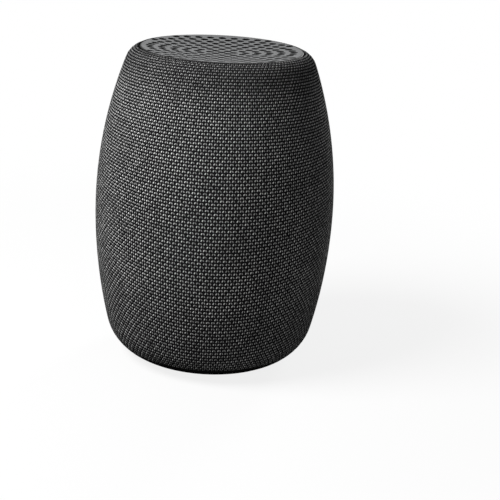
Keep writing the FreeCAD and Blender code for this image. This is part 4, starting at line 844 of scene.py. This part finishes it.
# =====================================================================
# floor, light and camera
# =====================================================================
def floor():
    """Pale floor that keeps the object's shadow, turns plain white away from it and is clear from below."""
    bpy.ops.mesh.primitive_plane_add(size=FLOOR_SIZE)
    plane = bpy.context.object
    plane.name = "floor"
    tree = MaterialTree("floor")
    seen = tree.nodes.new("ShaderNodeLightPath").outputs["Is Camera Ray"]
    x, y, _ = tree.split(tree.place())
    white = tree.ramp(tree.hypot(x, y), FLOOR_NEAR, FLOOR_FAR, FLOOR_WHITE_NEAR, 1.0, smooth=True)
    tree.surface(
        Base_Color=tree.mix(seen, FLOOR_BOUNCE, FLOOR_SEEN),
        Roughness=0.9,
        Specular_IOR_Level=0.1,
    )
    glow = tree.nodes.new("ShaderNodeEmission").outputs[0]
    top = tree.mix_shaders(tree.math("MULTIPLY", seen, white), tree.shader.outputs[0], glow)
    behind = tree.nodes.new("ShaderNodeNewGeometry").outputs["Backfacing"]
    clear = tree.nodes.new("ShaderNodeBsdfTransparent").outputs[0]
    whole = tree.mix_shaders(tree.math("MULTIPLY", seen, behind), top, clear)
    tree.put(tree.output.inputs["Surface"], whole)
    plane.data.materials.append(tree.material)


def world():
    """White to the eye, in reflections and through clear pieces, a soft grey to diffuse surfaces."""
    sky = bpy.data.worlds.new("studio")
    sky.use_nodes = True
    bpy.context.scene.world = sky
    tree = Tree(sky.node_tree)
    rays = tree.nodes.new("ShaderNodeLightPath").outputs
    seen = tree.math("ADD", rays["Is Camera Ray"], rays["Is Glossy Ray"])
    seen = tree.math("ADD", seen, rays["Is Transmission Ray"], clamp=True)
    backgrounds = []
    for strength in (AMBIENT, 1.0):
        background = tree.nodes.new("ShaderNodeBackground")
        background.inputs["Color"].default_value = (1.0, 1.0, 1.0, 1.0)
        background.inputs["Strength"].default_value = strength
        backgrounds.append(background.outputs[0])
    output = tree.nodes.new("ShaderNodeOutputWorld")
    tree.put(output.inputs["Surface"], tree.mix_shaders(seen, *backgrounds))


def lamp(name, place, size, power):
    """Round soft lamp that faces LAMP_AIM."""
    data = bpy.data.lights.new(name, "AREA")
    data.shape = "DISK"
    data.size = size
    data.energy = power
    light = bpy.data.objects.new(name, data)
    light.location = place
    light.rotation_euler = (Vector(LAMP_AIM) - Vector(place)).to_track_quat("-Z", "Y").to_euler()
    bpy.context.scene.collection.objects.link(light)


def camera():
    """Camera turned right by the yaw, down by the pitch, and rolled about its own line of sight."""
    yaw, pitch, roll = (math.radians(angle) for angle in (CAMERA_YAW, CAMERA_PITCH, CAMERA_ROLL))
    forward = Vector((math.sin(yaw) * math.cos(pitch), math.cos(yaw) * math.cos(pitch), -math.sin(pitch)))
    level = Vector((math.cos(yaw), -math.sin(yaw), 0.0))
    upright = level.cross(forward)
    right = math.cos(roll) * level + math.sin(roll) * upright
    up = math.cos(roll) * upright - math.sin(roll) * level
    data = bpy.data.cameras.new("camera")
    data.sensor_width = SENSOR
    data.lens = LENS
    eye = bpy.data.objects.new("camera", data)
    axes = Matrix((right, up, -forward)).transposed()
    eye.matrix_world = Matrix.Translation(CAMERA_PLACE) @ axes.to_4x4()
    bpy.context.scene.collection.objects.link(eye)
    bpy.context.scene.camera = eye


camera()
world()
floor()
for lamp_values in LAMPS:
    lamp(*lamp_values)
dress_cad_nodes()
for ring_values in FLEXING_RINGS:
    flexing_ring(*ring_values)
woven_sleeve()
bpy.context.scene.view_settings.view_transform = "Standard"
